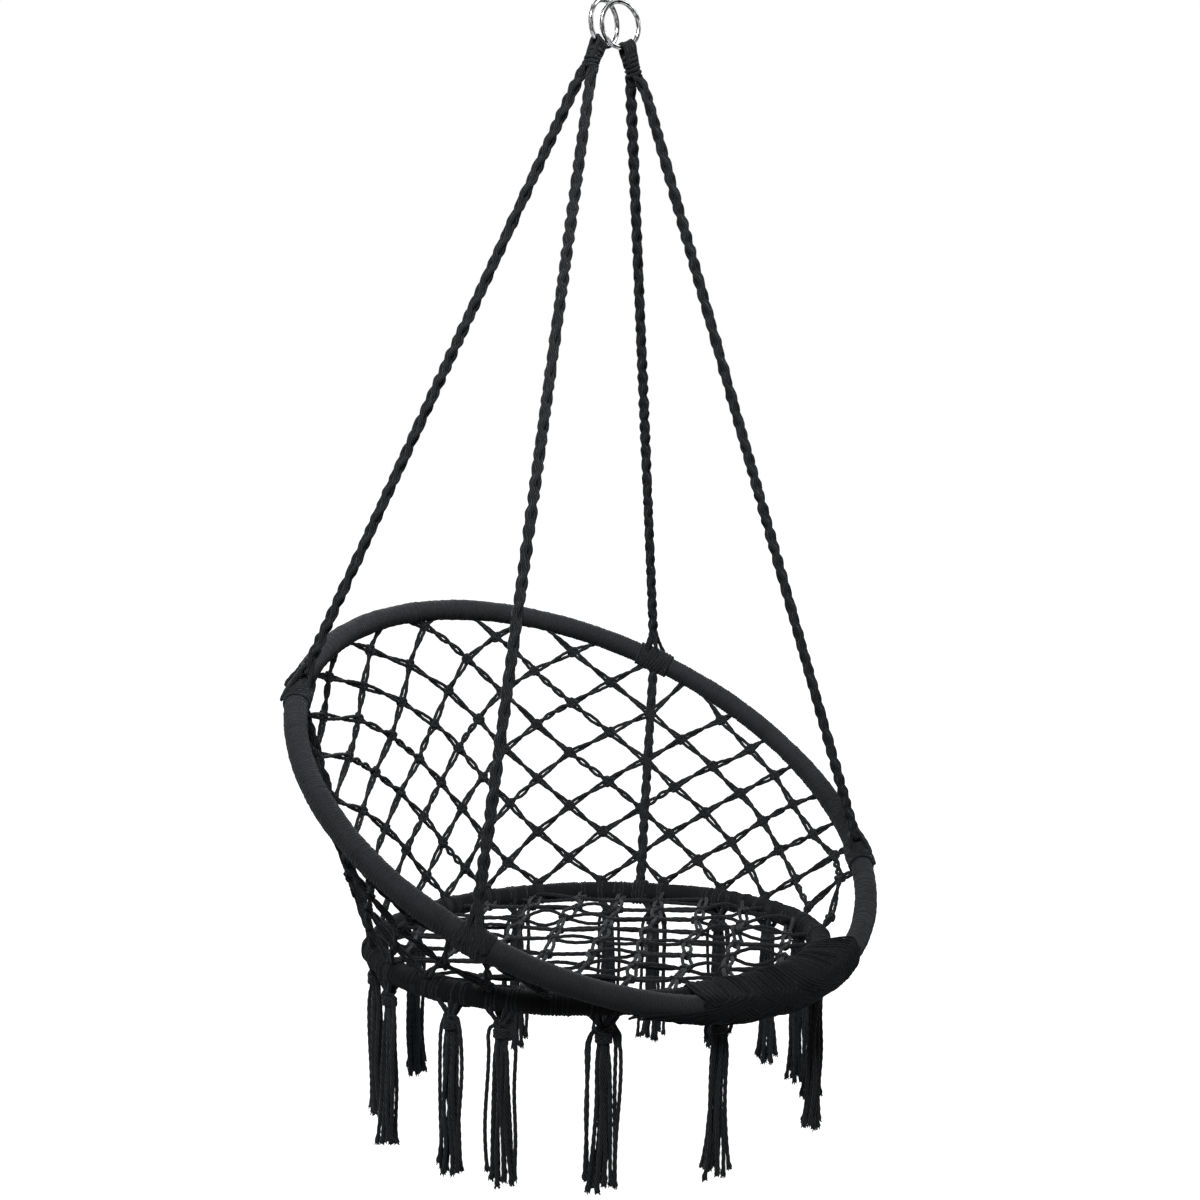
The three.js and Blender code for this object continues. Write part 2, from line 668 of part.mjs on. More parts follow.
function sideNetSolid() {
  const knots = [];
  const strands = [];
  const ends = [];
  const known = new Map();
  const lastColumn = columnAngles.length - 1;
  const exists = (column, row) => {
    if (row < 0 || row > netRowCount || (column + row) % 2 === 0) return false;
    if (column < 0 || column > lastColumn) return false;
    if (row === netRowCount) return true;
    if (column === 0 || column === lastColumn) return false;
    const angle = columnAngles[column];
    return rowHeight(angle, row) <= netLine(angle).length - topRowClearance;
  };
  const knotAt = (column, row) => {
    const key = `${column} ${row}`;
    if (!known.has(key)) {
      known.set(key, knots.length);
      knots.push(netKnot(columnAngles[column], rowHeight(columnAngles[column], row)));
    }
    return known.get(key);
  };
  // The strand of a top knot meets the back hoop part of the way to the next column
  const hoopKnot = (column, row, step) => {
    const angle = columnAngles[column];
    const next = columnAngles[column + step];
    const here = netLine(angle).length - rowHeight(angle, row);
    const there = netLine(next).length - rowHeight(next, row - 1);
    const share = Math.min(here / (here - there), 1);
    const meeting = angle + (next - angle) * share;
    return netKnot(meeting, netLine(meeting).length);
  };
  for (let row = 0; row <= netRowCount; row += 1) {
    for (let column = 0; column <= lastColumn; column += 1) {
      if (!exists(column, row)) continue;
      const lower = knotAt(column, row);
      for (const [step, side] of [[-1, 1], [1, 2]]) {
        if (exists(column + step, row - 1)) {
          strands.push({ from: knotAt(column + step, row - 1), to: lower, side });
        } else if (columnAngles[column + step] !== undefined && row < netRowCount) {
          ends.push({ from: hoopKnot(column, row, step), to: knots[lower], side });
        }
      }
    }
  }
  return netSolid(knots, strands, ends);
}

const netCutters = [
  backHoopCutter, seatHoopCutter, lashingCutter, ...Object.values(tieCutters), ...tailCutters,
];
const middleX = (solid) => (solid.boundingBox().min[0] + solid.boundingBox().max[0]) / 2;
const panels = largestBodies(cutAway(sideNetSolid(), netCutters), 3);
panels.sort((a, b) => middleX(a) - middleX(b));
['side_net_left', 'back_net', 'side_net_right'].forEach((name, index) => {
  addPiece(chair, name, toGeometry(panels[index]), cotton());
});

// The seat net: square cells turned by half a right angle, held all round by the seat hoop

function seatNetSolid() {
  const knots = [];
  const strands = [];
  const ends = [];
  const known = new Map();
  const half = netCell / Math.SQRT2;
  const up = new THREE.Vector3(0, 1, 0);
  const right = new THREE.Vector3(1, 0, 0);
  const limit = seatHoopRadius - seatRimClearance;
  const reach = Math.ceil(seatHoopRadius / half);
  const steps = [[1, 1], [1, -1], [-1, -1], [-1, 1]];
  for (let i = -reach; i <= reach; i += 1) {
    for (let j = -reach; j <= reach; j += 1) {
      if ((i + j) % 2 !== 0 || Math.hypot(i, j) * half > limit) continue;
      known.set(`${i} ${j}`, knots.length);
      knots.push({ place: new THREE.Vector3(i * half, j * half, 0), up, right });
    }
  }
  for (const [key, from] of [...known]) {
    const [i, j] = key.split(' ').map(Number);
    steps.forEach(([di, dj], side) => {
      const neighbour = known.get(`${i + di} ${j + dj}`);
      if (neighbour !== undefined) {
        if (side < 2) strands.push({ from, to: neighbour, side });
        return;
      }
      const heading = new THREE.Vector3(di, dj, 0).normalize();
      const place = knots[from].place;
      const along = place.dot(heading);
      const toRim = Math.sqrt(along ** 2 + seatHoopRadius ** 2 - place.lengthSq()) - along;
      const rimKnot = { place: place.clone().addScaledVector(heading, toRim), up, right };
      ends.push({ from: knots[from], to: rimKnot, side });
    });
  }
  return netSolid(knots, strands, ends);
}

const seatNetCutters = [backHoopCutter, seatHoopCutter, lashingCutter, ...tailCutters];
const seatNetTurn = new THREE.Matrix4().makeRotationZ(seatNetTurnDegrees * radiansPerDegree);
const turnedSeatNet = seatNetSolid().transform(seatNetTurn.elements);
const [seatNet] = largestBodies(cutAway(turnedSeatNet, seatNetCutters), 1);
addPiece(chair, 'seat_net', toGeometry(seatNet), cotton());

// Tassels: shoulders from the hoop to a knot, then a fluted skirt of strands

function tasselGeometry() {
  const knotBottom = -tasselKnotDrop - tasselKnotHeight / 2;
  const knotTop = -tasselKnotDrop + tasselKnotHeight / 2;
  const skirtTop = knotBottom - tasselKnotHeight;
  const levels = [
    [-tasselTopDrop, tasselShoulderRadius, 1],
    [knotTop, tasselKnotRadius * tasselFluteShare, 1],
    [-tasselKnotDrop, tasselKnotRadius, 1],
    [knotBottom, tasselKnotRadius, tasselFluteShare],
    [skirtTop, (tasselKnotRadius + tasselSkirtRadius) / 2, tasselFluteShare],
    [-tasselLength, tasselSkirtRadius, tasselFluteShare],
  ];
  const sides = tasselLobes * 2;
  const points = [];
  for (const [height, radius, flute] of levels) {
    for (let side = 0; side < sides; side += 1) {
      const turn = (side * 2 * Math.PI) / sides;
      const reach = side % 2 === 0 ? radius : radius * flute;
      points.push(new THREE.Vector3(reach * Math.cos(turn), reach * Math.sin(turn), height));
    }
  }
  const faces = [];
  const at = (level, side) => level * sides + (side % sides);
  const last = levels.length - 1;
  for (let level = 0; level < last; level += 1) {
    for (let side = 0; side < sides; side += 1) {
      faces.push(at(level, side), at(level + 1, side), at(level + 1, side + 1));
      faces.push(at(level, side), at(level + 1, side + 1), at(level, side + 1));
    }
  }
  const bottomCentre = points.length;
  points.push(new THREE.Vector3(0, 0, -tasselLength));
  for (let side = 0; side < sides; side += 1) {
    if (side > 0 && side < sides - 1) faces.push(at(0, 0), at(0, side), at(0, side + 1));
    faces.push(bottomCentre, at(last, side + 1), at(last, side));
  }
  return meshFromFaces(points, faces);
}

const plumb = lean.clone().invert();
const tasselSolid = toSolid(tasselGeometry().applyMatrix4(plumb));
tasselDegrees.forEach((degrees, index) => {
  const place = seatPoint(degrees * radiansPerDegree);
  const placed = tasselSolid.translate([place.x, place.y, place.z]);
  const cutters = [seatHoopCutter, backHoopCutter, lashingCutter, ...tailCutters];
  const [trimmed] = largestBodies(cutAway(placed, cutters), 1);
  const number = String(index + 1).padStart(2, '0');
  addPiece(chair, `tassel_${number}`, toGeometry(trimmed), cotton());
});

export default assembly;
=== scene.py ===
"""Looks of the hammock chair: twisted cotton ropes, knotted nets, wound hoops, tassels and bright rings.

Lengths are in millimetres, as the part is measured, and become metres when a mesh is made.
Points of the chair are first laid out in its own frame, with the seat hoop flat about the origin, and
to_part() puts them where the chair hangs. The frame of the part has its origin at the hook.
"""
import math

import bpy
import numpy as np
from mathutils import Matrix, Vector


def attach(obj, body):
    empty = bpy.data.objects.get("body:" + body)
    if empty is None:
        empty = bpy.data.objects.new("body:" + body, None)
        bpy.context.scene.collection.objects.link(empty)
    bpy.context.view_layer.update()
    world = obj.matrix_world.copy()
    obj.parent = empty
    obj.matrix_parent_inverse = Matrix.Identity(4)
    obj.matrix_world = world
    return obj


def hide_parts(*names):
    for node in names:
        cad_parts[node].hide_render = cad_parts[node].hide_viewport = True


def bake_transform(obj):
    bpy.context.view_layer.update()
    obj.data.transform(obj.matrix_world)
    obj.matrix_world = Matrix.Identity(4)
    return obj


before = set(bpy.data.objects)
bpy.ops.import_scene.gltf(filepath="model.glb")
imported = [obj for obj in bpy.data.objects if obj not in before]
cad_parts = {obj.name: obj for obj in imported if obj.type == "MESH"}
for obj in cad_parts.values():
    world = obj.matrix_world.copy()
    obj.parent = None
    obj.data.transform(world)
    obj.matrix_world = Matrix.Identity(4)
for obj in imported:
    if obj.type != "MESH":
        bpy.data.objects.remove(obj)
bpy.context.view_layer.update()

MM = 0.001
TURN = 2 * math.pi

# Hoops
BACK_RADIUS = 386.0
SEAT_RADIUS = 283.5
BACK_WRAP_RADIUS = 14.0
SEAT_WRAP_RADIUS = 13.5
BACK_TILT = math.radians(33)
HOOP_GAP = 0.8
CONTACT_DROP = math.radians(25)
SEAT_LEAN = math.radians(1.8)
HANG_FORWARD = 37.0
HANG_HEIGHT = 1168.0

# Rings and ropes
SIDES = {"left": -1, "right": 1}
RING_INNER_RADIUS = 24.5
WIRE_RADIUS = 3.0
RING_RADIUS = RING_INNER_RADIUS + WIRE_RADIUS
RING_DEPTH_OFFSET = 4.7
RING_LEAN = math.radians(23)
RING_YAW = {"right": math.radians(-8), "left": math.radians(11.6)}
HEAD_LENGTH = 41.0
HEAD_DROP = 0.9
ROPE_RADIUS = 6.9
ROPE_PAIR_OFFSET = 6.85
NECK_LENGTH = 22.0
NECK_SPREAD = {"left": 4.2, "right": 8.5}
TIE_ANGLES = {"back": math.radians(127.5), "front": math.radians(57.7)}
TAIL_END = math.radians(125.6)
BRAID_LAY = 73.0
FORK_HEIGHT = 31.0
TIE_OUTWARD = {"back": 4.0, "front": 3.5}
FORK_HALF_WIDTH = {"back": 17.0, "front": 12.0}

# Cords
NET_CORD_RADIUS = 2.35
WINDING_CORD_RADIUS = 1.9
RIM_CORD_RADIUS = 1.25
FORK_CORD_RADIUS = 2.5
HEAD_LOOP_RADIUS = 2.5
HEAD_COIL_RADIUS = 2.7
HEAD_CORE_RADIUS = 3.3
WRAP_PITCH = 4.25
WRAP_SCALLOP = 1.3

# Lashing: a close layer, then bands that cross it, each with its first and last angle, loops and slant
LASHING_DEGREES = (-22, 28)
LASHING_LOOPS = 108
LASHING_CORD_RADIUS = 1.6
LASHING_REACH = 15.9
BAND_CORD_RADIUS = 1.5
BAND_REACH = 17.2
LASHING_BANDS = [
    (-25, -17, 4, 24), (-21, -14, 6, 13), (-16, -8, 6, -12), (-9, -1, 6, 17), (1, 8, 6, -16), (6, 14, 7, 19),
    (13, 20, 5, -19), (19, 26.5, 6, 12)]

# Nets, with the columns of knots at angles round the hoops from the front
FRONT_EDGE = 52.0
SIDE_COLUMNS = [59.2, 66, 76, 85.5, 93, 101, 110, 119]
BACK_COLUMNS = [137, 146.5, 155.5, 164, 171.7, 179, 186, 193.3, 201, 209.3, 219]
NET_ROWS = 9
FIRST_ROW_HEIGHT = 50.0
FRONT_ROW_LIFT = 32.0
SIDE_ROW_PITCH = 34.5
BACK_ROW_PITCH = 41.0
HOOP_ROW_HEIGHT = 15.0
TOP_ROW_CLEARANCE = 24.0
SEAT_CELL = 59.0
SEAT_NET_TURN = math.radians(-4.8)
SKEW_LOW = math.radians(-4.6)
SKEW_TOP = math.radians(8.5)
SKEW_DEGREES = (150.0, 205.0)
SKEW_FADE_DEGREES = (225.0, 250.0)
SKEW_TOP_SHARES = (0.6, 0.95)
PULL_UP = 13.0
PULL_UP_DEGREES = (164.0, 178.0, 194.0)
SEAT_RIM_CLEARANCE = 24.0
KNOT_JITTER = 1.3
SEAT_JITTER = 3.0
SEAT_SLACK = 4.0
# Half turns of a pair of cords between two knots, to draw from
TWISTED = [1, 1, 1, 1, 1, 1, 1, 1, 2, 3]
OPEN = [0, 0, 0, 0, 0, 1]

# Tassels, at angles round the seat hoop
TASSEL_DEGREES = [-161, -125, -105, -79, -65, -41, -13, 30, 52, 67, 82.5, 101, 121.5, 134.5, 161.5]
TASSEL_LENGTH = 215.0
TASSEL_KNOT_DROP = 31.0
TASSEL_STRANDS = 11
TASSEL_CORD_RADIUS = 2.35
BOWED_CORDS = {2: (0, 1), 3: (0, 1), 4: (1, 1), 5: (1, 1), 6: (2, 2), 7: (0, 0), 9: (2, 2), 10: (2, 2)}
LASHED_TASSELS = (7,)
LASHED_GIRTH = 1.28
STUB_ENDS = {5: (1,), 6: (1,), 7: (-1, 1), 10: (1,), 13: (-1,)}

# Camera, fitted to the photograph's view
CAMERA_PLACE = (-1523.7, -1661.5, -539.7)
CAMERA_AZIMUTH = math.radians(-42.42)
CAMERA_ELEVATION = math.radians(4.85)
CAMERA_ROLL = math.radians(0.79)
CAMERA_FOCAL_PIXELS = 1797.0
PHOTO_PIXELS = 1200.0
SENSOR_WIDTH = 36.0

# Floor and dark cards, in metres, with each card's azimuth and width
FLOOR_HEIGHT = -1.9
FLOOR_HALF_WIDTH = 60.0
CARD_DISTANCE = 1.7
CARD_HALF_HEIGHT = 1.2
CARDS = [(-75, 0.9), (-20, 0.5), (25, 1.0), (100, 1.3), (170, 0.9)]
AMBIENT = 0.25


def unit(vectors):
    return vectors / np.linalg.norm(vectors, axis=-1, keepdims=True)


def smooth(share):
    share = np.clip(share, 0, 1)
    return share * share * (3 - 2 * share)


def smooth_between(value, start, end):
    return smooth((value - start) / (end - start))


def moved(points, *steps):
    """The points moved by amounts along directions, given in pairs."""
    for amount, direction in steps:
        points = points + np.asarray(amount)[..., None] * direction
    return points


def circled(centre, radius, angle, first, second):
    """Points at a radius round a centre, at an angle from one direction towards another."""
    return moved(centre, (radius * np.cos(angle), first), (radius * np.sin(angle), second))


def square_to(vectors, tangent):
    """The vectors without their share along a tangent, at unit length."""
    return unit(vectors - np.sum(vectors * tangent, -1, keepdims=True) * tangent)


def add_object(name, data):
    thing = bpy.data.objects.new(name, data)
    bpy.context.scene.collection.objects.link(thing)
    return thing


# Places on the chair

def to_part(points):
    """From the chair's own frame to the part's frame."""
    points = np.asarray(points, float)
    y = points[..., 1] + HANG_FORWARD
    z = points[..., 2] - HANG_HEIGHT
    c, s = math.cos(SEAT_LEAN), math.sin(SEAT_LEAN)
    return np.stack([points[..., 0], y * c + z * s, z * c - y * s], -1)


def hoop_direction(angle):
    angle = np.asarray(angle, float)
    return np.stack([np.sin(angle), -np.cos(angle), np.zeros_like(angle)], -1)


def tilt_back(vectors):
    """Turns vectors from a flat hoop's frame to the back hoop's."""
    c, s = math.cos(BACK_TILT), math.sin(BACK_TILT)
    x, y, z = np.moveaxis(np.asarray(vectors, float), -1, 0)
    return np.stack([x, y * c - z * s, y * s + z * c], -1)


HOOP_SPACING = BACK_WRAP_RADIUS + SEAT_WRAP_RADIUS + HOOP_GAP
BACK_FRONT = np.array([
    0,
    -SEAT_RADIUS - HOOP_SPACING * math.cos(CONTACT_DROP),
    -HOOP_SPACING * math.sin(CONTACT_DROP),
])
BACK_CENTRE = BACK_FRONT + BACK_RADIUS * np.array([0, math.cos(BACK_TILT), math.sin(BACK_TILT)])
UP = np.array([0.0, 0.0, 1.0])


def seat_point(angle):
    return SEAT_RADIUS * hoop_direction(angle)


def back_point(angle):
    return tilt_back(BACK_RADIUS * hoop_direction(angle)) + BACK_CENTRE


def seat_frame(angle):
    """Outward, sideways (out of the hoop's plane) and along directions at an angle of the seat hoop."""
    out = hoop_direction(angle)
    along = np.stack([np.cos(angle), np.sin(angle), np.zeros_like(np.asarray(angle, float))], -1)
    return out, np.broadcast_to(UP, out.shape), along


def back_frame(angle):
    return tuple(tilt_back(v) for v in seat_frame(angle))


# Each hoop's points, directions, radius and radius over its wrap
BACK_HOOP = (back_point, back_frame, BACK_RADIUS, BACK_WRAP_RADIUS)
SEAT_HOOP = (seat_point, seat_frame, SEAT_RADIUS, SEAT_WRAP_RADIUS)


# Meshes

class Shape:
    """Gathers quads and end caps, and makes one mesh of them."""

    def __init__(self):
        self.points = []
        self.quads = []
        self.quad_uvs = []
        self.caps = []
        self.count = 0

    def add_tubes(self, rings, u, v, closed=False):
        """Skins over rings of points, (tubes, rings, sides, 3), with u round them and v along them."""
        tubes, count, sides, _ = rings.shape
        index = np.arange(tubes * count * sides).reshape(tubes, count, sides) + self.count
        last = count if closed else count - 1
        near, far = index[:, np.arange(last)], index[:, (np.arange(last) + 1) % count]
        around = (np.arange(sides) + 1) % sides
        self.quads.append(np.stack([near, near[..., around], far[..., around], far], -1).reshape(-1, 4))
        u_near = np.broadcast_to(u[:-1], (tubes, last, sides))
        u_far = np.broadcast_to(u[1:], (tubes, last, sides))
        v_near = np.broadcast_to(v[:, :last, None], (tubes, last, sides))
        v_step = np.broadcast_to((v[:, 1:2] - v[:, 0:1])[:, :, None], v_near.shape)
        v_far = v_near + v_step if closed else np.broadcast_to(v[:, 1:, None], v_near.shape)
        uv = np.stack([u_near, v_near, u_far, v_near, u_far, v_far, u_near, v_far], -1)
        self.quad_uvs.append(uv.reshape(-1, 4, 2))
        if not closed:
            self.caps += [ring[::-1] for ring in index[:, 0]] + list(index[:, -1])
        self.points.append(rings.reshape(-1, 3))
        self.count += rings.size // 3

    def add_cords(self, paths, radius, sides=9, lobes=3, ridge=0.1, lay=13.0, closed=False, taper=True):
        """Round cords along paths, (cords, points, 3), with twisted plies as ridges on their skin."""
        paths = np.asarray(paths, float)
        radius = np.broadcast_to(np.asarray(radius, float), paths.shape[:2]).copy()
        if closed:
            tangent = unit(np.roll(paths, -1, 1) - np.roll(paths, 1, 1))
        else:
            tangent = unit(np.gradient(paths, axis=1))
            if taper:
                end = radius[:, :1] * 0.45
                paths = np.concatenate([
                    paths[:, :1] - tangent[:, :1] * end[..., None], paths,
                    paths[:, -1:] + tangent[:, -1:] * radius[:, -1:, None] * 0.45], 1)
                radius = np.concatenate([radius[:, :1] * 0.55, radius, radius[:, -1:] * 0.55], 1)
                tangent = np.concatenate([tangent[:, :1], tangent, tangent[:, -1:]], 1)
        side = np.empty_like(paths)
        start = np.cross(tangent[:, 0], UP)
        upright = np.linalg.norm(start, axis=1) < 0.3
        start[upright] = np.cross(tangent[upright, 0], np.array([1.0, 0, 0]))
        for k in range(paths.shape[1]):
            start = square_to(start, tangent[:, k])
            side[:, k] = start
        other = np.cross(tangent, side)
        if closed:
            back = square_to(side[:, -1], tangent[:, 0])
            slip = np.arctan2(np.sum(back * other[:, 0], -1), np.sum(back * side[:, 0], -1))
            turn = -slip[:, None] * np.linspace(0, 1, paths.shape[1], endpoint=False)
            side, other = circled(0, 1, turn, side, other), circled(0, 1, turn, other, -side)
        steps = np.linalg.norm(np.diff(paths, axis=1), axis=-1)
        along = np.concatenate([np.zeros((len(paths), 1)), np.cumsum(steps, 1)], 1)
        phi = np.arange(sides) * TURN / sides
        plies = 1 + ridge * np.cos(lobes * phi - (along * TURN / lay)[..., None])
        reach = radius[..., None] * plies
        rings = circled(paths[:, :, None], reach, phi, side[:, :, None], other[:, :, None])
        self.add_tubes(rings, np.arange(sides + 1) / sides, along / 10, closed)

    def make(self, name, material):
        """One smooth mesh of all that was added, in metres."""
        points = np.concatenate(self.points) * MM
        quads = np.concatenate(self.quads)
        mesh = bpy.data.meshes.new(name)
        mesh.vertices.add(len(points))
        mesh.vertices.foreach_set("co", points.astype(np.float32).ravel())
        cap_sizes = np.array([len(cap) for cap in self.caps], int)
        corners = np.concatenate([quads.ravel(), *self.caps]) if self.caps else quads.ravel()
        sizes = np.concatenate([np.full(len(quads), 4), cap_sizes])
        starts = np.concatenate([[0], np.cumsum(sizes)[:-1]])
        mesh.loops.add(len(corners))
        mesh.loops.foreach_set("vertex_index", corners.astype(np.int32))
        mesh.polygons.add(len(sizes))
        mesh.polygons.foreach_set("loop_start", starts.astype(np.int32))
        mesh.polygons.foreach_set("use_smooth", np.ones(len(sizes), bool))
        uv = np.zeros((len(corners), 2), np.float32)
        uv[: quads.size] = np.concatenate(self.quad_uvs).reshape(-1, 2)
        layer = mesh.uv_layers.new(name="cord")
        layer.data.foreach_set("uv", uv.ravel())
        mesh.update(calc_edges=True)
        mesh.validate()
        mesh.materials.append(material)
        piece = add_object(name, mesh)
        return piece


# Materials

class Tree:
    """Makes and joins the nodes of one tree."""

    def __init__(self, tree):
        self.nodes = tree.nodes
        self.links = tree.links

    def fill(self, sockets, values):
        """Gives each named socket its number or colour, or another node's output."""
        for key, value in values.items():
            if isinstance(value, bpy.types.NodeSocket):
                self.links.new(value, sockets[key])
            else:
                sockets[key].default_value = value

    def add(self, kind, inputs, output=0, **settings):
        node = self.nodes.new(kind)
        for key, value in settings.items():
            setattr(node, key, value)
        self.fill(node.inputs, inputs)
        return node.outputs[output]

    def maths(self, operation, *values):
        return self.add("ShaderNodeMath", dict(enumerate(values)), operation=operation)

    def place(self):
        return self.add("ShaderNodeTexCoord", {}, "Object")

    def cord_place(self):
        """The shares round a cord and along it."""
        uv = self.add("ShaderNodeUVMap", {}, uv_map="cord")
        return [self.add("ShaderNodeSeparateXYZ", {0: uv}, axis) for axis in "XY"]

    def noise(self, vector, scale, detail, roughness=0.6):
        inputs = {"Vector": vector, "Scale": scale, "Detail": detail, "Roughness": roughness}
        return self.add("ShaderNodeTexNoise", inputs, "Fac")

    def bump(self, height, strength, distance):
        return self.add("ShaderNodeBump", {"Height": height, "Strength": strength, "Distance": distance})

    def ramp(self, value, stops):
        node = self.nodes.new("ShaderNodeValToRGB")
        elements = node.color_ramp.elements
        while len(elements) < len(stops):
            elements.new(0.5)
        for element, (place, colour) in zip(elements, stops):
            element.position = place
            element.color = (*colour, 1)
        self.fill(node.inputs, {"Fac": value})
        return node.outputs["Color"]

    def seen_directly(self):
        """1 for rays from the camera and for what metal and glass show, and else 0."""
        path = self.nodes.new("ShaderNodeLightPath").outputs
        either = self.maths("MAXIMUM", path["Is Camera Ray"], path["Is Glossy Ray"])
        return self.maths("MAXIMUM", either, path["Is Transmission Ray"])


def new_material(name):
    """A material, its tree and the sockets of its shader."""
    material = bpy.data.materials.new(name)
    material.use_nodes = True
    tree = Tree(material.node_tree)
    return material, tree, tree.nodes["Principled BSDF"].inputs


def cotton(name, yarns_round, yarn_slope, dark, light, fuzz=0.1):
    """Dark dyed cotton: yarns that wind round the cord, random tufts of fluff that lighten the colour only
    on the yarns' crests, a painted highlight there and painted shade in the grooves between them, and a soft
    fuzzy edge.
    """
    material, tree, shader = new_material(name)
    maths = tree.maths
    place = tree.place()
    round_share, along_share = tree.cord_place()
    yarn = maths("SINE", maths("ADD", maths("MULTIPLY", round_share, TURN * yarns_round),
                               maths("MULTIPLY", along_share, TURN * yarn_slope)))
    yarn_height = maths("MULTIPLY_ADD", yarn, 0.5, 0.5)
    fibres = tree.noise(place, 2600, 3, 0.7)
    tufts = tree.noise(place, 430, 4)
    fade = tree.noise(place, 28, 3)
    relief = maths("ADD", maths("MULTIPLY", yarn_height, 0.45), maths("MULTIPLY", fibres, 0.75))
    # Painted highlight and shade: the fluff tone is multiplied by the yarn height, so the crests are lighter
    # and the grooves darker
    lint_and_painted_highlight = maths("MULTIPLY", maths("MULTIPLY", tufts, yarn_height), 0.9)
    shade = maths("ADD", lint_and_painted_highlight, maths("MULTIPLY", fade, 0.35))
    middle = tuple((a + b) / 2 for a, b in zip(dark, light))
    tree.fill(shader, {
        "Base Color": tree.ramp(shade, [(0.14, dark), (0.5, middle), (0.9, light)]),
        "Roughness": maths("MULTIPLY_ADD", tufts, 0.25, 0.72),
        "Normal": tree.bump(relief, 0.75, 0.0007),
        "Specular IOR Level": 0.06,
        "Sheen Weight": fuzz,
        "Sheen Roughness": 0.42,
        "Sheen Tint": (0.62, 0.66, 0.7, 1),
    })
    return material


DARK = (0.0022, 0.0024, 0.0028)
LIGHT = (0.0215, 0.023, 0.0255)
# Painted shade: the seat hoop's wrap and the lashing use this darker top tone of the same cotton, and less
# sheen
PAINTED_SHADE_TONE = (0.0085, 0.0092, 0.0105)
# Painted light: the tassels use this lighter top tone of the same cotton, to stay as bright under the weaker
# lamps
TASSEL_PAINTED_LIGHT = (0.031, 0.033, 0.0365)
net_cotton = cotton("net_cord_cotton", 5, 1.5, DARK, LIGHT)
rope_cotton = cotton("rope_cotton", 7, 1.0, DARK, LIGHT)
# With one yarn round, the lighter crest of the colour is the upper side of each hoop's wrap: painted
# highlight on top and painted shade underneath
wrap_cotton = cotton("hoop_wrap_cotton", 1, 0.0, DARK, LIGHT)
seat_wrap_cotton = cotton("seat_wrap_cotton", 1, 0.0, DARK, PAINTED_SHADE_TONE, 0.02)
lashing_cotton = cotton("lashing_cotton", 7, 1.0, DARK, PAINTED_SHADE_TONE, 0.03)
tassel_cotton = cotton("tassel_cotton", 5, 1.6, DARK, TASSEL_PAINTED_LIGHT)


def chrome():
    """Plated wire, with painted reflections of dark surroundings as bands along it in its colour, smears and
    fine scratches.
    """
    material, tree, shader = new_material("plated_wire")
    maths = tree.maths
    place = tree.place()
    round_share, along_share = tree.cord_place()
    turn = maths("MULTIPLY", round_share, TURN)
    drawn = tree.add("ShaderNodeCombineXYZ", {
        "X": maths("COSINE", turn), "Y": maths("SINE", turn), "Z": maths("MULTIPLY", along_share, 0.9)})
    painted_reflections = tree.noise(drawn, 1.5, 3)
    # Painted reflection: the base colour goes from near black to pale grey in bands along the wire
    tree.fill(shader, {
        "Base Color": tree.ramp(painted_reflections, [
            (0.36, (0.035, 0.036, 0.038)), (0.46, (0.2, 0.203, 0.207)), (0.54, (0.42, 0.425, 0.43)),
            (0.68, (0.8, 0.805, 0.81))]),
        "Metallic": 1,
        "Roughness": maths("MULTIPLY_ADD", tree.noise(place, 90, 4), 0.16, 0.04),
        "Normal": tree.bump(tree.noise(place, 1400, 2), 0.12, 0.0002),
    })
    return material


def steel():
    material, tree, shader = new_material("hoop_tube_steel")
    grain = tree.noise(tree.place(), 400, 4)
    tree.fill(shader, {
        "Base Color": tree.ramp(grain, [(0.3, (0.2, 0.21, 0.22)), (0.7, (0.34, 0.35, 0.36))]),
        "Metallic": 1,
        "Roughness": tree.maths("MULTIPLY_ADD", grain, 0.3, 0.3),
    })
    return material


ring_chrome = chrome()
hoop_steel = steel()
for node_name in ("back_hoop_tube", "seat_hoop_tube", "back_hoop_joint_pin", "seat_hoop_joint_pin"):
    hidden_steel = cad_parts[node_name]
    hidden_steel.data.materials.clear()
    hidden_steel.data.materials.append(hoop_steel)


# Camera, floor and light

def add_camera():
    az, el, roll = CAMERA_AZIMUTH, CAMERA_ELEVATION, CAMERA_ROLL
    back = Vector((math.sin(az) * math.cos(el), -math.cos(az) * math.cos(el), math.sin(el)))
    level = (-back).cross(Vector((0, 0, 1))).normalized()
    above = level.cross(-back)
    right = level * math.cos(roll) + above * math.sin(roll)
    up = above * math.cos(roll) - level * math.sin(roll)
    data = bpy.data.cameras.new("camera")
    data.sensor_fit = "HORIZONTAL"
    data.sensor_width = SENSOR_WIDTH
    data.lens = CAMERA_FOCAL_PIXELS * SENSOR_WIDTH / PHOTO_PIXELS
    camera = add_object("camera", data)
    turn = Matrix((right, up, back)).transposed().to_4x4()
    camera.matrix_world = Matrix.Translation(Vector(CAMERA_PLACE) * MM) @ turn
    bpy.context.scene.camera = camera


def add_world():
    world = bpy.data.worlds.new("studio")
    bpy.context.scene.world = world
    world.use_nodes = True
    tree = Tree(world.node_tree)
    tree.fill(tree.nodes["Background"].inputs, {
        "Color": (1, 1, 1, 1),
        "Strength": tree.maths("MULTIPLY_ADD", tree.seen_directly(), 1 - AMBIENT, AMBIENT),
    })


def add_sheet(name, corners, material):
    """One flat face through four corners."""
    mesh = bpy.data.meshes.new(name)
    mesh.from_pydata([tuple(corner) for corner in corners], [], [(0, 1, 2, 3)])
    mesh.materials.append(material)
    return add_object(name, mesh)


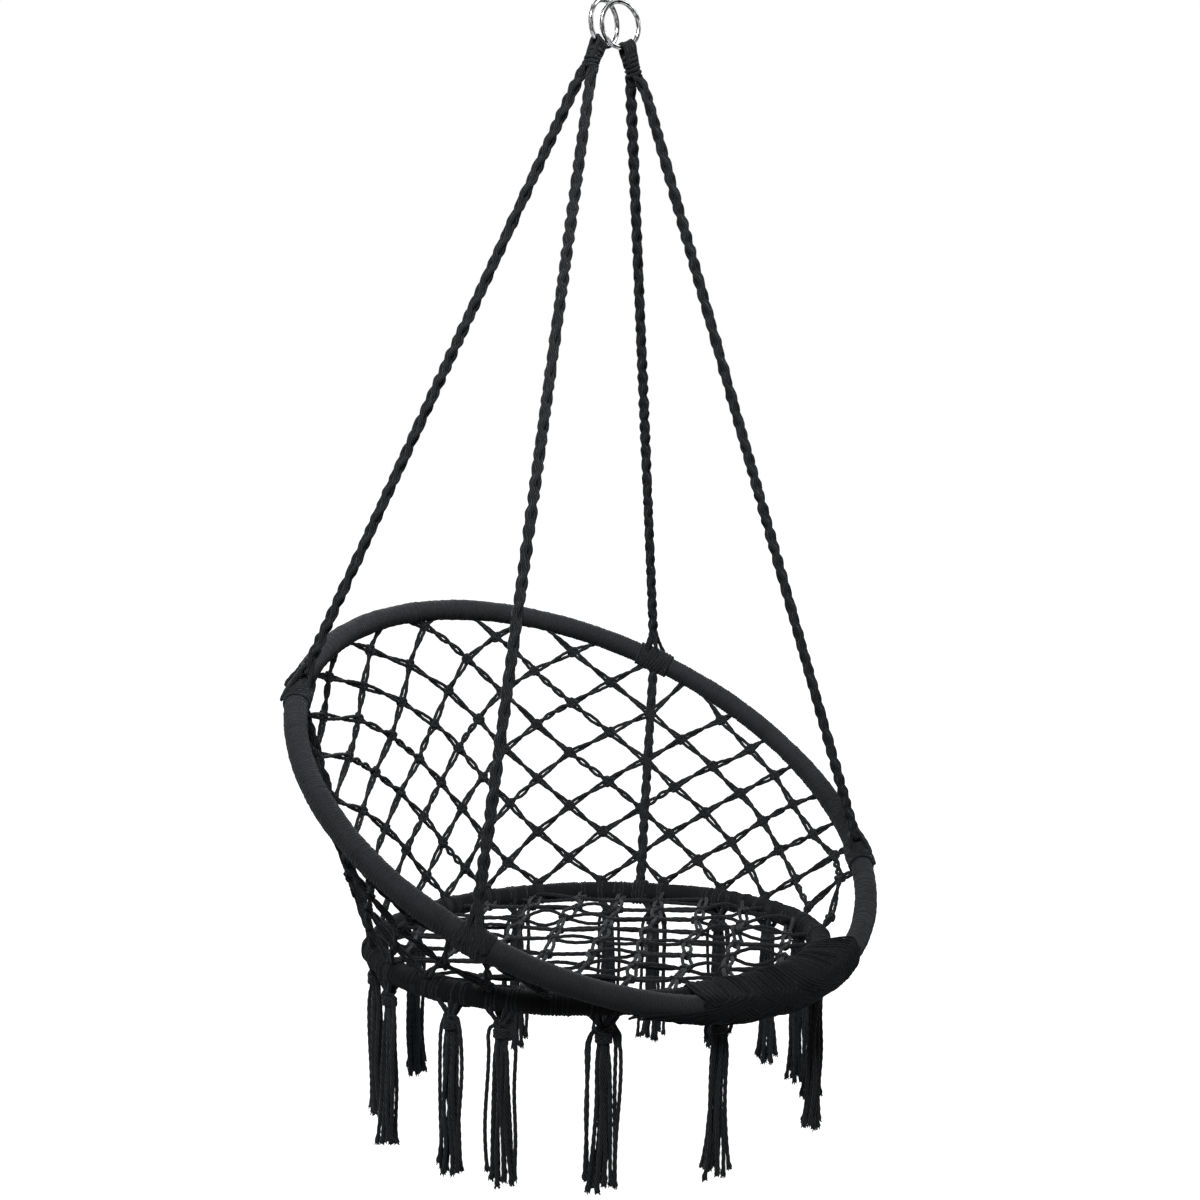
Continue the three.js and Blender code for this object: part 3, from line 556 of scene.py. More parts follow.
def add_floor():
    """A pale floor that takes the shadow near the chair and fades into the white far from it."""
    material, tree, shader = new_material("pale_floor")
    flat = tree.add("ShaderNodeVectorMath", {0: tree.place(), 1: (1, 1, 0)}, operation="MULTIPLY")
    distance = tree.add("ShaderNodeVectorMath", {0: flat}, "Value", operation="LENGTH")
    fade = tree.add("ShaderNodeMapRange", {
        "Value": distance, "From Min": 0.5, "From Max": 3.5, "To Min": 0.76, "To Max": 1.0}, "Result")
    tree.fill(shader, {
        "Base Color": (0.6, 0.6, 0.6, 1),
        "Roughness": 0.9,
        "Specular IOR Level": 0.0,
        "Emission Color": (1, 1, 1, 1),
        "Emission Strength": tree.maths("MULTIPLY", tree.seen_directly(), fade),
    })
    half = FLOOR_HALF_WIDTH
    corners = [(x, y, FLOOR_HEIGHT) for x, y in ((-half, -half), (half, -half), (half, half), (-half, half))]
    floor = add_sheet("floor", corners, material)


def add_dark_cards():
    """Upright dark cards round the rings, seen only in their reflections."""
    material, tree, shader = new_material("dark_card")
    grain = tree.noise(tree.place(), 3, 2)
    tree.fill(shader, {
        "Base Color": tree.ramp(grain, [(0.3, (0.02, 0.02, 0.02)), (0.7, (0.05, 0.05, 0.05))]),
        "Roughness": 1,
    })
    for index, (azimuth, width) in enumerate(CARDS):
        turn = math.radians(azimuth)
        middle = Vector((math.sin(turn), -math.cos(turn), 0)) * CARD_DISTANCE
        along = Vector((math.cos(turn), math.sin(turn), 0)) * width / 2
        height = Vector((0, 0, CARD_HALF_HEIGHT))
        corners = [middle - along - height, middle + along - height, middle + along + height,
                   middle - along + height]
        card = add_sheet(f"dark_card_{index}", corners, material)
        for rays in ("camera", "diffuse", "transmission", "shadow", "volume_scatter"):
            setattr(card, f"visible_{rays}", False)


def add_lamp(name, place, target, size, spread, power):
    """A square soft box with a grid that keeps its light to a cone."""
    data = bpy.data.lights.new(name, "AREA")
    data.shape = "SQUARE"
    data.size = size
    data.energy = power
    data.spread = math.radians(spread)
    lamp = add_object(name, data)
    lamp.location = place
    lamp.rotation_euler = (Vector(target) - lamp.location).to_track_quat("-Z", "Y").to_euler()


add_camera()
add_world()
add_floor()
add_dark_cards()
add_lamp("key_lamp", (-2.0, -1.4, 1.3), (-0.25, 0, -0.3), size=1.1, spread=42, power=16.5)
add_lamp("fill_lamp", (1.7, -1.8, 1.3), (-0.2, 0, -0.25), size=1.4, spread=45, power=3.5)
add_lamp("back_lamp", (0.9, 2.5, 0.5), (0.0, 0.1, -0.8), size=1.4, spread=45, power=9.5)

view_settings = bpy.context.scene.view_settings
view_settings.view_transform = "Standard"


# Rings

def ring_placement(side_name):
    """The ring's centre, the way down from its top, its plane's normal and its wire's way at the bottom."""
    side = SIDES[side_name]
    yaw = RING_YAW[side_name]
    lean = RING_LEAN * side
    across = np.array([math.cos(yaw), math.sin(yaw), 0])
    away = across * math.sin(lean) - UP * math.cos(lean)
    centre = np.array([0, -side * RING_DEPTH_OFFSET, 0]) + away * RING_INNER_RADIUS
    normal = unit(np.cross(across, UP))
    wire = unit(np.cross(normal, away))
    return centre, away, normal, wire


def add_ring(side_name):
    centre, away, normal, wire = ring_placement(side_name)
    steps, sides = 160, 24
    turn = np.arange(steps) * TURN / steps
    radial = circled(0, 1, turn, away, wire)[:, None]
    phi = np.arange(sides) * TURN / sides
    reach = RING_RADIUS + WIRE_RADIUS * np.cos(phi)
    rings = moved(centre, (reach, radial), (WIRE_RADIUS * np.sin(phi), normal))
    shape = Shape()
    along = turn[None] * RING_RADIUS / 10
    shape.add_tubes(rings[None], np.arange(sides + 1) / sides, along, closed=True)
    piece = shape.make(f"ring_{side_name}", ring_chrome)
    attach(piece, "rings")
    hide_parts(f"o_ring_{side_name}")


for side_name in SIDES:
    add_ring(side_name)


# Ropes: four strands plaited round

def along_route(route, pitch):
    """Points about pitch apart on the straight stretches of a route."""
    route = np.asarray(route, float)
    lengths = np.linalg.norm(np.diff(route, axis=0), axis=1)
    whole = np.concatenate([[0], np.cumsum(lengths)])
    places = np.linspace(0, whole[-1], max(int(whole[-1] / pitch), 4))
    return np.stack([np.interp(places, whole, route[:, k]) for k in range(3)], -1), places


def add_rope(shape, route, rng, pitch=2.4):
    """A round plait of four strands: two wind one way and two the other, over and under by turns."""
    line, places = along_route(route, pitch)
    soft = np.ones(9) / 9
    padded = np.concatenate([line[:1]] * 4 + [line] + [line[-1:]] * 4)
    line = np.stack([np.convolve(padded[:, k], soft, "valid") for k in range(3)], -1)
    line[0], line[-1] = route[0], route[-1]
    tangent = unit(np.gradient(line, axis=0))
    view = np.array([math.sin(CAMERA_AZIMUTH), -math.cos(CAMERA_AZIMUTH), 0.0])
    side = unit(np.cross(tangent, view))
    other = np.cross(tangent, side)
    knots = np.linspace(0, places[-1], 14)
    slip = np.interp(places, knots, rng.normal(0, 0.2, len(knots)))
    stretch = np.interp(places, knots, rng.normal(0, 0.35, len(knots)))
    turn = places * TURN / BRAID_LAY + stretch
    swell = (0.15 + 0.55 * np.sin(places / 61 + rng.uniform(0, TURN))) * np.cos(4 * turn)
    paths = []
    for way, start in ((1, 0), (1, math.pi), (-1, math.pi / 2), (-1, 3 * math.pi / 2)):
        reach = ROPE_RADIUS * 0.53 + swell + way * 0.85 * np.sin(2 * turn)
        angle = way * turn + start + slip
        paths.append(circled(line, reach, angle, side, other))
    shape.add_cords(np.array(paths), ROPE_RADIUS * 0.46, sides=11, lobes=4, ridge=0.07, lay=15.0)


def contact_point(side_name):
    centre, away, _, wire = ring_placement(side_name)
    return centre + away * RING_RADIUS, wire


def head_axes(side_name):
    """The eye's centre on the wire, up along the head, and from its front rope to its back rope."""
    seat, wire = contact_point(side_name)
    ties = [to_part(back_point(SIDES[side_name] * angle)) for angle in TIE_ANGLES.values()]
    pull = sum(unit(tie - seat) for tie in ties)
    up = -unit(pull)
    up = unit(up - np.dot(up, wire) * wire)
    backward = unit(np.cross(up, wire))
    return seat - up * HEAD_DROP, up, backward, wire


def add_head(side_name, rng):
    """Loops over the ring's wire, bound below by turns of cord that widen to the two ropes."""
    eye, up, backward, wire = head_axes(side_name)
    shape = Shape()
    loops = 4
    reach = WIRE_RADIUS + HEAD_LOOP_RADIUS + 0.1
    arc = np.linspace(0, math.pi, 15)
    leg = np.linspace(1, 0, 9)[:-1]
    across = np.concatenate([reach - leg * 1.2, reach * np.cos(arc), -(reach - leg[::-1] * 1.2)])
    height = np.concatenate([-leg * 24, reach * np.sin(arc), -leg[::-1] * 24])
    paths = []
    for k in range(loops):
        offset = (k - (loops - 1) / 2) * 2 * HEAD_LOOP_RADIUS * 0.94
        rise = offset ** 2 / 2 / RING_RADIUS + rng.uniform(-0.3, 0.5)
        spread = offset * (1 - 0.12 * smooth(-height / 20)) + rng.normal(0, 0.1)
        paths.append(moved(eye, (across, backward), (height + rise, up), (spread, wire)))
    shape.add_cords(paths, HEAD_LOOP_RADIUS, sides=10)
    turns, steps = 5, 36
    share = np.linspace(0, 1, turns * steps)
    phase = share * turns * TURN
    widening = smooth((share - 0.2) / 0.8)
    half_width = 6.2 + 4.4 * widening
    half_depth = 7.0 - 2.4 * widening
    depth = -(7.5 + (HEAD_LENGTH - 14.5) * share)
    wobble = np.convolve(np.repeat(rng.normal(0, 0.35, turns), steps), np.ones(9) / 9, "same")
    path = moved(eye, ((half_width + wobble) * np.cos(phase), backward),
                 ((half_depth + wobble) * np.sin(phase), wire), (depth, up))
    shape.add_cords(path[None], HEAD_COIL_RADIUS, sides=11, lobes=4, ridge=0.08)
    core = np.linspace(-6.5, -HEAD_LENGTH - 6, 16)
    swell = smooth((-core - 14) / 22)
    for cord in range(4):
        apart = 1.4 + 5.0 * swell
        row = (1 if cord % 2 else -1) * apart
        layer = (1 if cord < 2 else -1) * (2.4 - 0.4 * swell)
        line = moved(eye, (core, up), (row, backward), (layer, wire))
        shape.add_cords(line[None], HEAD_CORE_RADIUS, sides=10, lobes=4, ridge=0.07)
    piece = shape.make(f"head_{side_name}", rope_cotton)
    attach(piece, "chair")
    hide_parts(f"rope_head_{side_name}")


def rope_route(corner, side_name, sign):
    """From under the head to where the rope forks above its hoop."""
    eye, up, backward, _ = head_axes(side_name)
    angle = SIDES[side_name] * TIE_ANGLES[corner]
    out, _, _ = back_frame(np.array(angle))
    tie = to_part(back_point(angle) + out * TIE_OUTWARD[corner])
    start = eye - up * (HEAD_LENGTH - 6) + sign * backward * ROPE_PAIR_OFFSET
    neck = start - up * NECK_LENGTH + sign * backward * NECK_SPREAD[side_name]
    way = unit(neck - tie)
    return start, neck, tie + way * FORK_HEIGHT, tie, way


def winding(shape, hoop, angle, coil_radius, half_span, turns, cord_radius, rng, slant=0.0, phase=0.0,
            bulge=0.0):
    """Turns of cord round a hoop, centred at an angle of it. The slant shifts one side of each turn along
    the hoop, and the bulge is how much the turns rise in the middle."""
    point_at, frame_at, hoop_radius, _ = hoop
    steps = 26
    share = np.linspace(0, 1, turns * steps)
    turn = share * turns * TURN + phase
    loose = np.repeat(rng.normal(0, 0.25, turns), steps)
    along = (share - 0.5) * 2 * half_span + slant * np.sin(turn)
    station = angle + along / hoop_radius
    out, sideways, _ = frame_at(station)
    radius = coil_radius + np.convolve(loose, np.ones(7) / 7, "same") + bulge * np.sin(share * math.pi) ** 2
    path = circled(point_at(station), radius, turn, out, sideways)
    shape.add_cords(to_part(path)[None], cord_radius, sides=9, ridge=0.09)


def add_tie(corner, side_name, rng):
    """The rope's foot forks over the hoop and is bound to it by two layers of turns."""
    angle = SIDES[side_name] * TIE_ANGLES[corner]
    _, _, fork, tie, way = rope_route(corner, side_name, 1 if corner == "back" else -1)
    shape = Shape()
    half_width = FORK_HALF_WIDTH[corner]
    inner = BACK_WRAP_RADIUS + WINDING_CORD_RADIUS * 0.7
    winding(shape, BACK_HOOP, angle, inner, half_width + 8, 15, WINDING_CORD_RADIUS, rng,
            slant=1.5, bulge=0.5)
    winding(shape, BACK_HOOP, angle, inner + 0.7, half_width - 2, 6, WINDING_CORD_RADIUS, rng,
            slant=-4.0, phase=1.0, bulge=0.2)
    _, _, along = back_frame(np.array(angle))
    along = to_part(along) - to_part(np.zeros(3))
    outward = unit(np.cross(along, way))
    share = np.linspace(0, 1, 26)
    for leg in (-1, 1):
        for cord in range(4):
            row = (cord % 2) - 0.5
            layer = 1 if cord < 2 else -1
            start = fork + way * 9 + leg * along * 2.2 + outward * layer * 3.0 + along * row * 3.2
            foot = tie + leg * along * (half_width + row * 5) + outward * layer * 13.6 - way * 4
            bow = np.sin(share * math.pi)
            line = moved(start, (smooth(share), foot - start), (-2.0 * bow, way),
                         (layer * 2.5 * bow, outward))
            shape.add_cords(line[None], FORK_CORD_RADIUS, sides=9)
    piece = shape.make(f"tie_{corner}_{side_name}", rope_cotton)
    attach(piece, "chair")
    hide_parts(f"rope_tie_{corner}_{side_name}")


def add_hanging_rope(corner, side_name, rng):
    sign = 1 if corner == "back" else -1
    start, neck, fork, _, way = rope_route(corner, side_name, sign)
    shape = Shape()
    add_rope(shape, [start, neck, fork - way * 3], rng)
    piece = shape.make(f"rope_{corner}_{side_name}", rope_cotton)
    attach(piece, "chair")
    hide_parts(f"hanging_rope_{corner}_{side_name}")


def blend_across(piece, chair_points, seat_points):
    """Bakes a piece's place into its mesh. The chair and seat points given are not used."""
    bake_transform(piece)


def add_tail_rope(side_name, rng):
    side = SIDES[side_name]
    top = back_point(np.array(side * TIE_ANGLES["back"]))
    bottom = seat_point(np.array(side * TAIL_END))
    way = unit(bottom - top)
    shape = Shape()
    route = to_part([top + way * 8, bottom - way * 3])
    add_rope(shape, route, rng)
    winding(shape, SEAT_HOOP, side * TAIL_END, SEAT_WRAP_RADIUS + 2.2, 10, 4, WINDING_CORD_RADIUS, rng)
    piece = shape.make(f"tail_{side_name}", rope_cotton)
    blend_across(piece, to_part([top]), to_part([bottom + way * -SEAT_WRAP_RADIUS]))
    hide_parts(f"tail_rope_{side_name}")


rope_rng = np.random.default_rng(11)
for side_name in SIDES:
    add_head(side_name, rope_rng)
    for corner in ("back", "front"):
        add_hanging_rope(corner, side_name, rope_rng)
        add_tie(corner, side_name, rope_rng)
    add_tail_rope(side_name, rope_rng)


# Hoops: close turns of cord wound on the tubes

def add_wound_hoop(name, body, node, material, hoop, seed):
    """A skin whose scallops are the turns of the wound cord, each a little tighter or looser."""
    point_at, frame_at, hoop_radius, wrap_radius = hoop
    rng = np.random.default_rng(seed)
    rings_per_turn, sides = 6, 26
    turns = round(TURN * hoop_radius / WRAP_PITCH)
    count = turns * rings_per_turn
    angle = np.arange(count) * TURN / count
    phi = np.arange(sides) * TURN / sides
    sway = 0.9 * np.sin(angle * 7 + 1) + 0.6 * np.sin(angle * 17 + 2)
    slant = 0.9 + 0.5 * np.sin(angle * 5)
    turn_place = (np.arange(count) / rings_per_turn)[:, None] + sway[:, None] * 0.4 \
        - slant[:, None] * np.cos(phi + 0.6)[None] * 0.5 - (phi / TURN)[None]
    within = turn_place - np.floor(turn_place)
    scallop = np.sqrt(np.clip(1 - (2 * within - 1) ** 2 * 0.92, 0, 1))
    which = np.floor(turn_place).astype(int) % turns
    tightness = rng.normal(0, 0.24, turns)[which]
    slack = 0.25 * np.sin(angle * 11)[:, None] + 0.2 * np.sin(angle[:, None] * 29 + phi * 2)
    lashed_in = 0.6 * np.exp(-(np.remainder(angle + math.pi, TURN) - math.pi) ** 2 / 0.3)[:, None]
    reach = wrap_radius - 1.0 + WRAP_SCALLOP * scallop + tightness + slack - lashed_in
    out, sideways, _ = frame_at(angle)
    rings = circled(point_at(angle)[:, None], reach, phi, out[:, None], sideways[:, None])
    shape = Shape()
    shape.add_tubes(to_part(rings)[None], np.arange(sides + 1) / sides,
                    (angle * hoop_radius / WRAP_PITCH)[None], closed=True)
    piece = shape.make(name, material)
    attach(piece, body)
    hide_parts(node)


add_wound_hoop("wound_back_hoop", "chair", "back_hoop_wrap", wrap_cotton, BACK_HOOP, 3)
add_wound_hoop("wound_seat_hoop", "seat", "seat_hoop_wrap", seat_wrap_cotton, SEAT_HOOP, 4)


# Lashing: close turns round both hoops, crossed by slanting turns

def back_angle_facing(seat_angle):
    """The back hoop's angle that stands straight outside an angle of the seat hoop."""
    sideways = np.cos(seat_angle)
    forwards = math.cos(BACK_TILT) * np.sin(seat_angle)
    offset = BACK_CENTRE[1] * np.sin(seat_angle) / BACK_RADIUS / np.hypot(sideways, forwards)
    return np.arctan2(forwards, sideways) - np.arcsin(offset)


def around_both(seat_angle, turn, reach):
    """Points on an oval about the two hoops' centre lines."""
    inner = seat_point(seat_angle)
    outer = back_point(back_angle_facing(seat_angle))
    to_outer = unit(outer - inner)
    _, _, along = seat_frame(seat_angle)
    upward = np.cross(to_outer, along)
    side = smooth((np.cos(turn) + 0.35) / 0.7)
    centre = moved(inner, (side, outer - inner))
    return circled(centre, reach, turn, to_outer, upward)


def add_lashing(rng):
    shape = Shape()
    steps = 44
    left, right = (math.radians(degrees) for degrees in LASHING_DEGREES)
    layers = [(left, right, LASHING_LOOPS, LASHING_CORD_RADIUS, LASHING_REACH, 0.05, 0.28)]
    for *degrees, loops, slant in LASHING_BANDS:
        begin, end = (math.radians(angle) for angle in degrees)
        layers.append((begin, end, loops, BAND_CORD_RADIUS, BAND_REACH, math.radians(slant), 0.5))
    for begin, end, loops, cord_radius, reach, slant, looseness in layers:
        share = np.linspace(0, 1, loops * steps)
        turn = share * loops * TURN + 0.5
        loose = np.convolve(np.repeat(rng.normal(0, looseness, loops), steps), np.ones(15) / 15, "same")
        seat_angle = begin + (end - begin) * share + slant * 0.5 * np.sin(turn)
        path = around_both(seat_angle, turn, reach + loose)
        shape.add_cords(to_part(path)[None], cord_radius, sides=8, ridge=0.09)
    piece = shape.make("lashing", lashing_cotton)
    blend_across(piece, to_part([back_point(np.array(0.0))]), to_part([seat_point(np.array(0.0))]))
    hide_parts("front_lashing")


add_lashing(np.random.default_rng(21))


# Nets: knots where two cords of each way cross, joined by pairs of cords that twist or stand open

RIGHT_DEGREES = [FRONT_EDGE, *SIDE_COLUMNS, math.degrees(TIE_ANGLES["back"])]
LEFT_DEGREES = [360 - degrees for degrees in reversed(RIGHT_DEGREES)]
COLUMNS = np.radians([*RIGHT_DEGREES, *BACK_COLUMNS, *LEFT_DEGREES])


def net_line(angle):
    bottom = seat_point(np.array(angle))
    top = back_point(np.array(angle))
    return bottom, np.linalg.norm(top - bottom), unit(top - bottom)


def row_height(angle, row):
    from_front = min(angle, TURN - angle)
    back_share = smooth((from_front - TURN / 3) / (TURN / 6))
    pitch = SIDE_ROW_PITCH + (BACK_ROW_PITCH - SIDE_ROW_PITCH) * back_share
    first, third = math.radians(SIDE_COLUMNS[0]), math.radians(SIDE_COLUMNS[2])
    lift = FRONT_ROW_LIFT * (1 - smooth((from_front - first) / (third - first)))
    if row == NET_ROWS:
        return HOOP_ROW_HEIGHT + lift * HOOP_ROW_HEIGHT / FRONT_ROW_LIFT
    return FIRST_ROW_HEIGHT + lift + (NET_ROWS - 1 - row) * pitch


def skewed(angle, height):
    """Where a knot of an even net stands, as its cords pull it askew on the net's left."""
    even_length = net_line(angle)[1]
    share = height / even_length
    degrees = math.degrees(angle)
    top = smooth_between(share, *SKEW_TOP_SHARES)
    left = smooth_between(degrees, *SKEW_DEGREES) * (1 - smooth_between(degrees, *SKEW_FADE_DEGREES))
    start, middle, end = PULL_UP_DEGREES
    pulled = smooth_between(degrees, start, middle) * (1 - smooth_between(degrees, middle, end))
    lift = PULL_UP * pulled * top if share < 1 else 0
    turned = angle + left * (SKEW_LOW * math.sin(math.pi * share) + SKEW_TOP * top)
    return turned, (height + lift) * net_line(turned)[1] / even_length


def net_normal(angle, height):
    """Straight out of the net at a point of it."""
    bottom, _, up = net_line(angle)
    ahead, _, up_ahead = net_line(angle + 0.01)
    return unit(np.cross((ahead + up_ahead * height) - (bottom + up * height), up))


def add_strands(shape, starts, ends, normals, rng, half_turn_choices=TWISTED, apart_range=(2.3, 3.1),
                lens=0.0):
    """Two cords from each start to its end. They cross between the knots by as many half turns as are drawn
    from the choices, and stand apart all the way, or in a lens that is widest about the middle."""
    starts, ends, normals = (np.array(v, float) for v in (starts, ends, normals))
    count = len(starts)
    share = np.linspace(0, 1, 23)
    line = starts[:, None] + (ends - starts)[:, None] * share[None, :, None]
    way = unit(ends - starts)
    across = unit(np.cross(normals, way))
    half_turns = rng.choice(half_turn_choices, count) * rng.choice([-1, 1], count)
    turn = half_turns[:, None] * math.pi * share + rng.normal(0, 0.2, count)[:, None]
    even = 0.55 + 0.45 * smooth(np.minimum(share, 1 - share) / 0.1)
    leaning = share ** rng.uniform(0.6, 1.6, count)[:, None]
    bulging = 0.2 + 0.8 * np.sin(math.pi * leaning)
    apart = rng.uniform(*apart_range, count)[:, None] * (even + (bulging - even) * lens)
    flat = np.sign(np.cos(turn)) * np.abs(np.cos(turn)) ** 0.75 * apart
    slack = lens * rng.normal(0, SEAT_SLACK, count)[:, None] * np.sin(math.pi * leaning)
    deep = np.sin(turn) * NET_CORD_RADIUS * 0.85 + slack
    sag = rng.normal(0, 0.9, count)[:, None] * np.sin(share * math.pi)
    offset = moved(0, (flat, across[:, None]), (deep, normals[:, None]))
    middle = moved(line, (sag, across[:, None]))
    shape.add_cords(to_part(np.concatenate([middle + offset, middle - offset])), NET_CORD_RADIUS, sides=8,
                    ridge=0.11, lay=12.0, taper=False)


def add_knots(shape, places, ups, normals, rng, size=1.15):
    """Small flat knots: a cord that passes three times through itself, tight round a lump."""
    places, ups, normals = (np.array(v, float) for v in (places, ups, normals))
    count = len(places)
    rights = np.cross(ups, normals)
    t = np.linspace(0, TURN, 26, endpoint=False)
    spin = rng.uniform(0, TURN, count)[:, None]
    scale = size * rng.uniform(0.95, 1.12, count)[:, None]
    radius = 3.3 + 1.45 * np.cos(3 * t)
    flat_x = scale * radius * np.cos(2 * t + spin) * 1.12
    flat_y = scale * radius * np.sin(2 * t + spin) * 1.08
    depth = scale * 2.2 * np.sin(3 * t)
    paths = moved(places[:, None], (flat_x, rights[:, None]), (flat_y, ups[:, None]),
                  (depth, normals[:, None]))
    shape.add_cords(to_part(paths), NET_CORD_RADIUS * 1.22, sides=7, ridge=0.1, lay=12.0, closed=True)
    share = np.linspace(-1, 1, 7)
    for way in (-1, 1):
        cross = unit(rights + way * ups)
        lumps = moved(places[:, None], (share * 6.0, cross[:, None])) + (way * 0.9 * normals)[:, None]
        shape.add_cords(to_part(lumps), 3.1 - 0.9 * share ** 2, sides=7, ridge=0.1, lay=14.0)


def add_net_strips():
    rng = np.random.default_rng(31)
    last = len(COLUMNS) - 1
    places = {}

    def exists(column, row):
        if not (0 <= row <= NET_ROWS and 0 <= column <= last) or (column + row) % 2 == 0:
            return False
        if row == NET_ROWS:
            return True
        if column in (0, last):
            return False
        return row_height(COLUMNS[column], row) <= net_line(COLUMNS[column])[1] - TOP_ROW_CLEARANCE

    def knot(column, row):
        if (column, row) not in places:
            angle, height = skewed(COLUMNS[column], row_height(COLUMNS[column], row))
            bottom, _, up = net_line(angle)
            normal = net_normal(angle, height)
            shift = rng.normal(0, KNOT_JITTER, 2)
            if row == NET_ROWS:
                shift = shift * 0
            place = bottom + up * (height + shift[0]) + np.cross(up, normal) * shift[1]
            places[column, row] = (place, up, normal)
        return places[column, row]

    def on_hoop(column, row, step):
        angle, following = COLUMNS[column], COLUMNS[column + step]
        here = net_line(angle)[1] - row_height(angle, row)
        there = net_line(following)[1] - row_height(following, row - 1)
        share = min(here / (here - there), 1)
        meeting = angle + (following - angle) * share
        return back_point(np.array(skewed(meeting, net_line(meeting)[1])[0]))

    strips = {column: {"strands": [], "knots": []} for column in range(last)}
    for row in range(NET_ROWS + 1):
        for column in range(last + 1):
            if not exists(column, row):
                continue
            place, up, normal = knot(column, row)
            own_strip = strips[min(column, last - 1)]
            own_strip["knots"].append((place, up, normal))
            if row == NET_ROWS:
                foot = seat_point(np.array(COLUMNS[column])) + up * SEAT_WRAP_RADIUS * 0.8
                own_strip["strands"].append((place, foot, normal))
            for step in (-1, 1):
                strip = strips[min(column, column + step)] if 0 <= column + step <= last else None
                if exists(column + step, row - 1):
                    end = knot(column + step, row - 1)[0]
                elif strip is not None and row < NET_ROWS:
                    end = on_hoop(column, row, step)
                else:
                    continue
                strip["strands"].append((place, end, normal))
    right_tie = len(SIDE_COLUMNS) + 1
    left_tie = last - right_tie
    for column, strip in strips.items():
        if not any(strip.values()):
            continue
        shape = Shape()
        if strip["strands"]:
            add_strands(shape, *zip(*strip["strands"]), rng)
        if strip["knots"]:
            add_knots(shape, *zip(*strip["knots"]), rng)
        part = "side_right" if column < right_tie else "side_left" if column >= left_tie else "back"
        node = {"side_right": "side_net_right", "side_left": "side_net_left", "back": "back_net"}[part]
        piece = shape.make(f"net_{part}_{column:02d}", net_cotton)
        edges = COLUMNS[[column, column + 1]]
        blend_across(piece, to_part(back_point(edges)), to_part(seat_point(edges)))
        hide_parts(node)


def add_seat_net():
    rng = np.random.default_rng(41)
    half = SEAT_CELL / math.sqrt(2)
    reach = math.ceil(SEAT_RADIUS / half)
    c, s = math.cos(SEAT_NET_TURN), math.sin(SEAT_NET_TURN)
    knots = {}
    for i in range(-reach, reach + 1):
        for j in range(-reach, reach + 1):
            if (i + j) % 2 == 0 and math.hypot(i, j) * half <= SEAT_RADIUS - SEAT_RIM_CLEARANCE:
                x, y = i * half + rng.normal(0, SEAT_JITTER), j * half + rng.normal(0, SEAT_JITTER)
                knots[i, j] = np.array([x * c - y * s, x * s + y * c, rng.normal(0, SEAT_SLACK / 3)])
    starts, ends, rims = [], [], []
    for (i, j), place in knots.items():
        for di, dj in ((1, 1), (1, -1), (-1, -1), (-1, 1)):
            neighbour = knots.get((i + di, j + dj))
            if neighbour is None:
                heading = unit(np.array([di * c - dj * s, di * s + dj * c, 0.0]))
                along = place @ heading
                end = place + heading * (math.sqrt(along ** 2 + SEAT_RADIUS ** 2 - place @ place) - along)
                rims.append(math.atan2(end[0], -end[1]))
            elif di > 0:
                end = neighbour
            else:
                continue
            starts.append(place)
            ends.append(end)
    shape = Shape()
    up_vectors = np.broadcast_to(np.array([0.0, 1, 0]), (len(knots), 3))
    add_strands(shape, starts, ends, np.broadcast_to(UP, (len(starts), 3)), rng, OPEN, (3.0, 6.5), lens=1.0)
    add_knots(shape, list(knots.values()), up_vectors, np.broadcast_to(UP, (len(knots), 3)), rng)
    rims += [COLUMNS[column] for column in range(len(COLUMNS)) if (column + NET_ROWS) % 2]
    for angle in rims:
        for offset in (-2.2, 2.2):
            winding(shape, SEAT_HOOP, angle + offset / SEAT_RADIUS, SEAT_WRAP_RADIUS - 0.1, 1.2, 1,
                    RIM_CORD_RADIUS, rng, phase=math.pi * 1.25)
    piece = shape.make("seat_netting", net_cotton)
    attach(piece, "seat")
    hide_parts("seat_net")


add_net_strips()
add_seat_net()


# Tassels: two legs from the hoop to a knot, and strands that hang from it to frayed ends

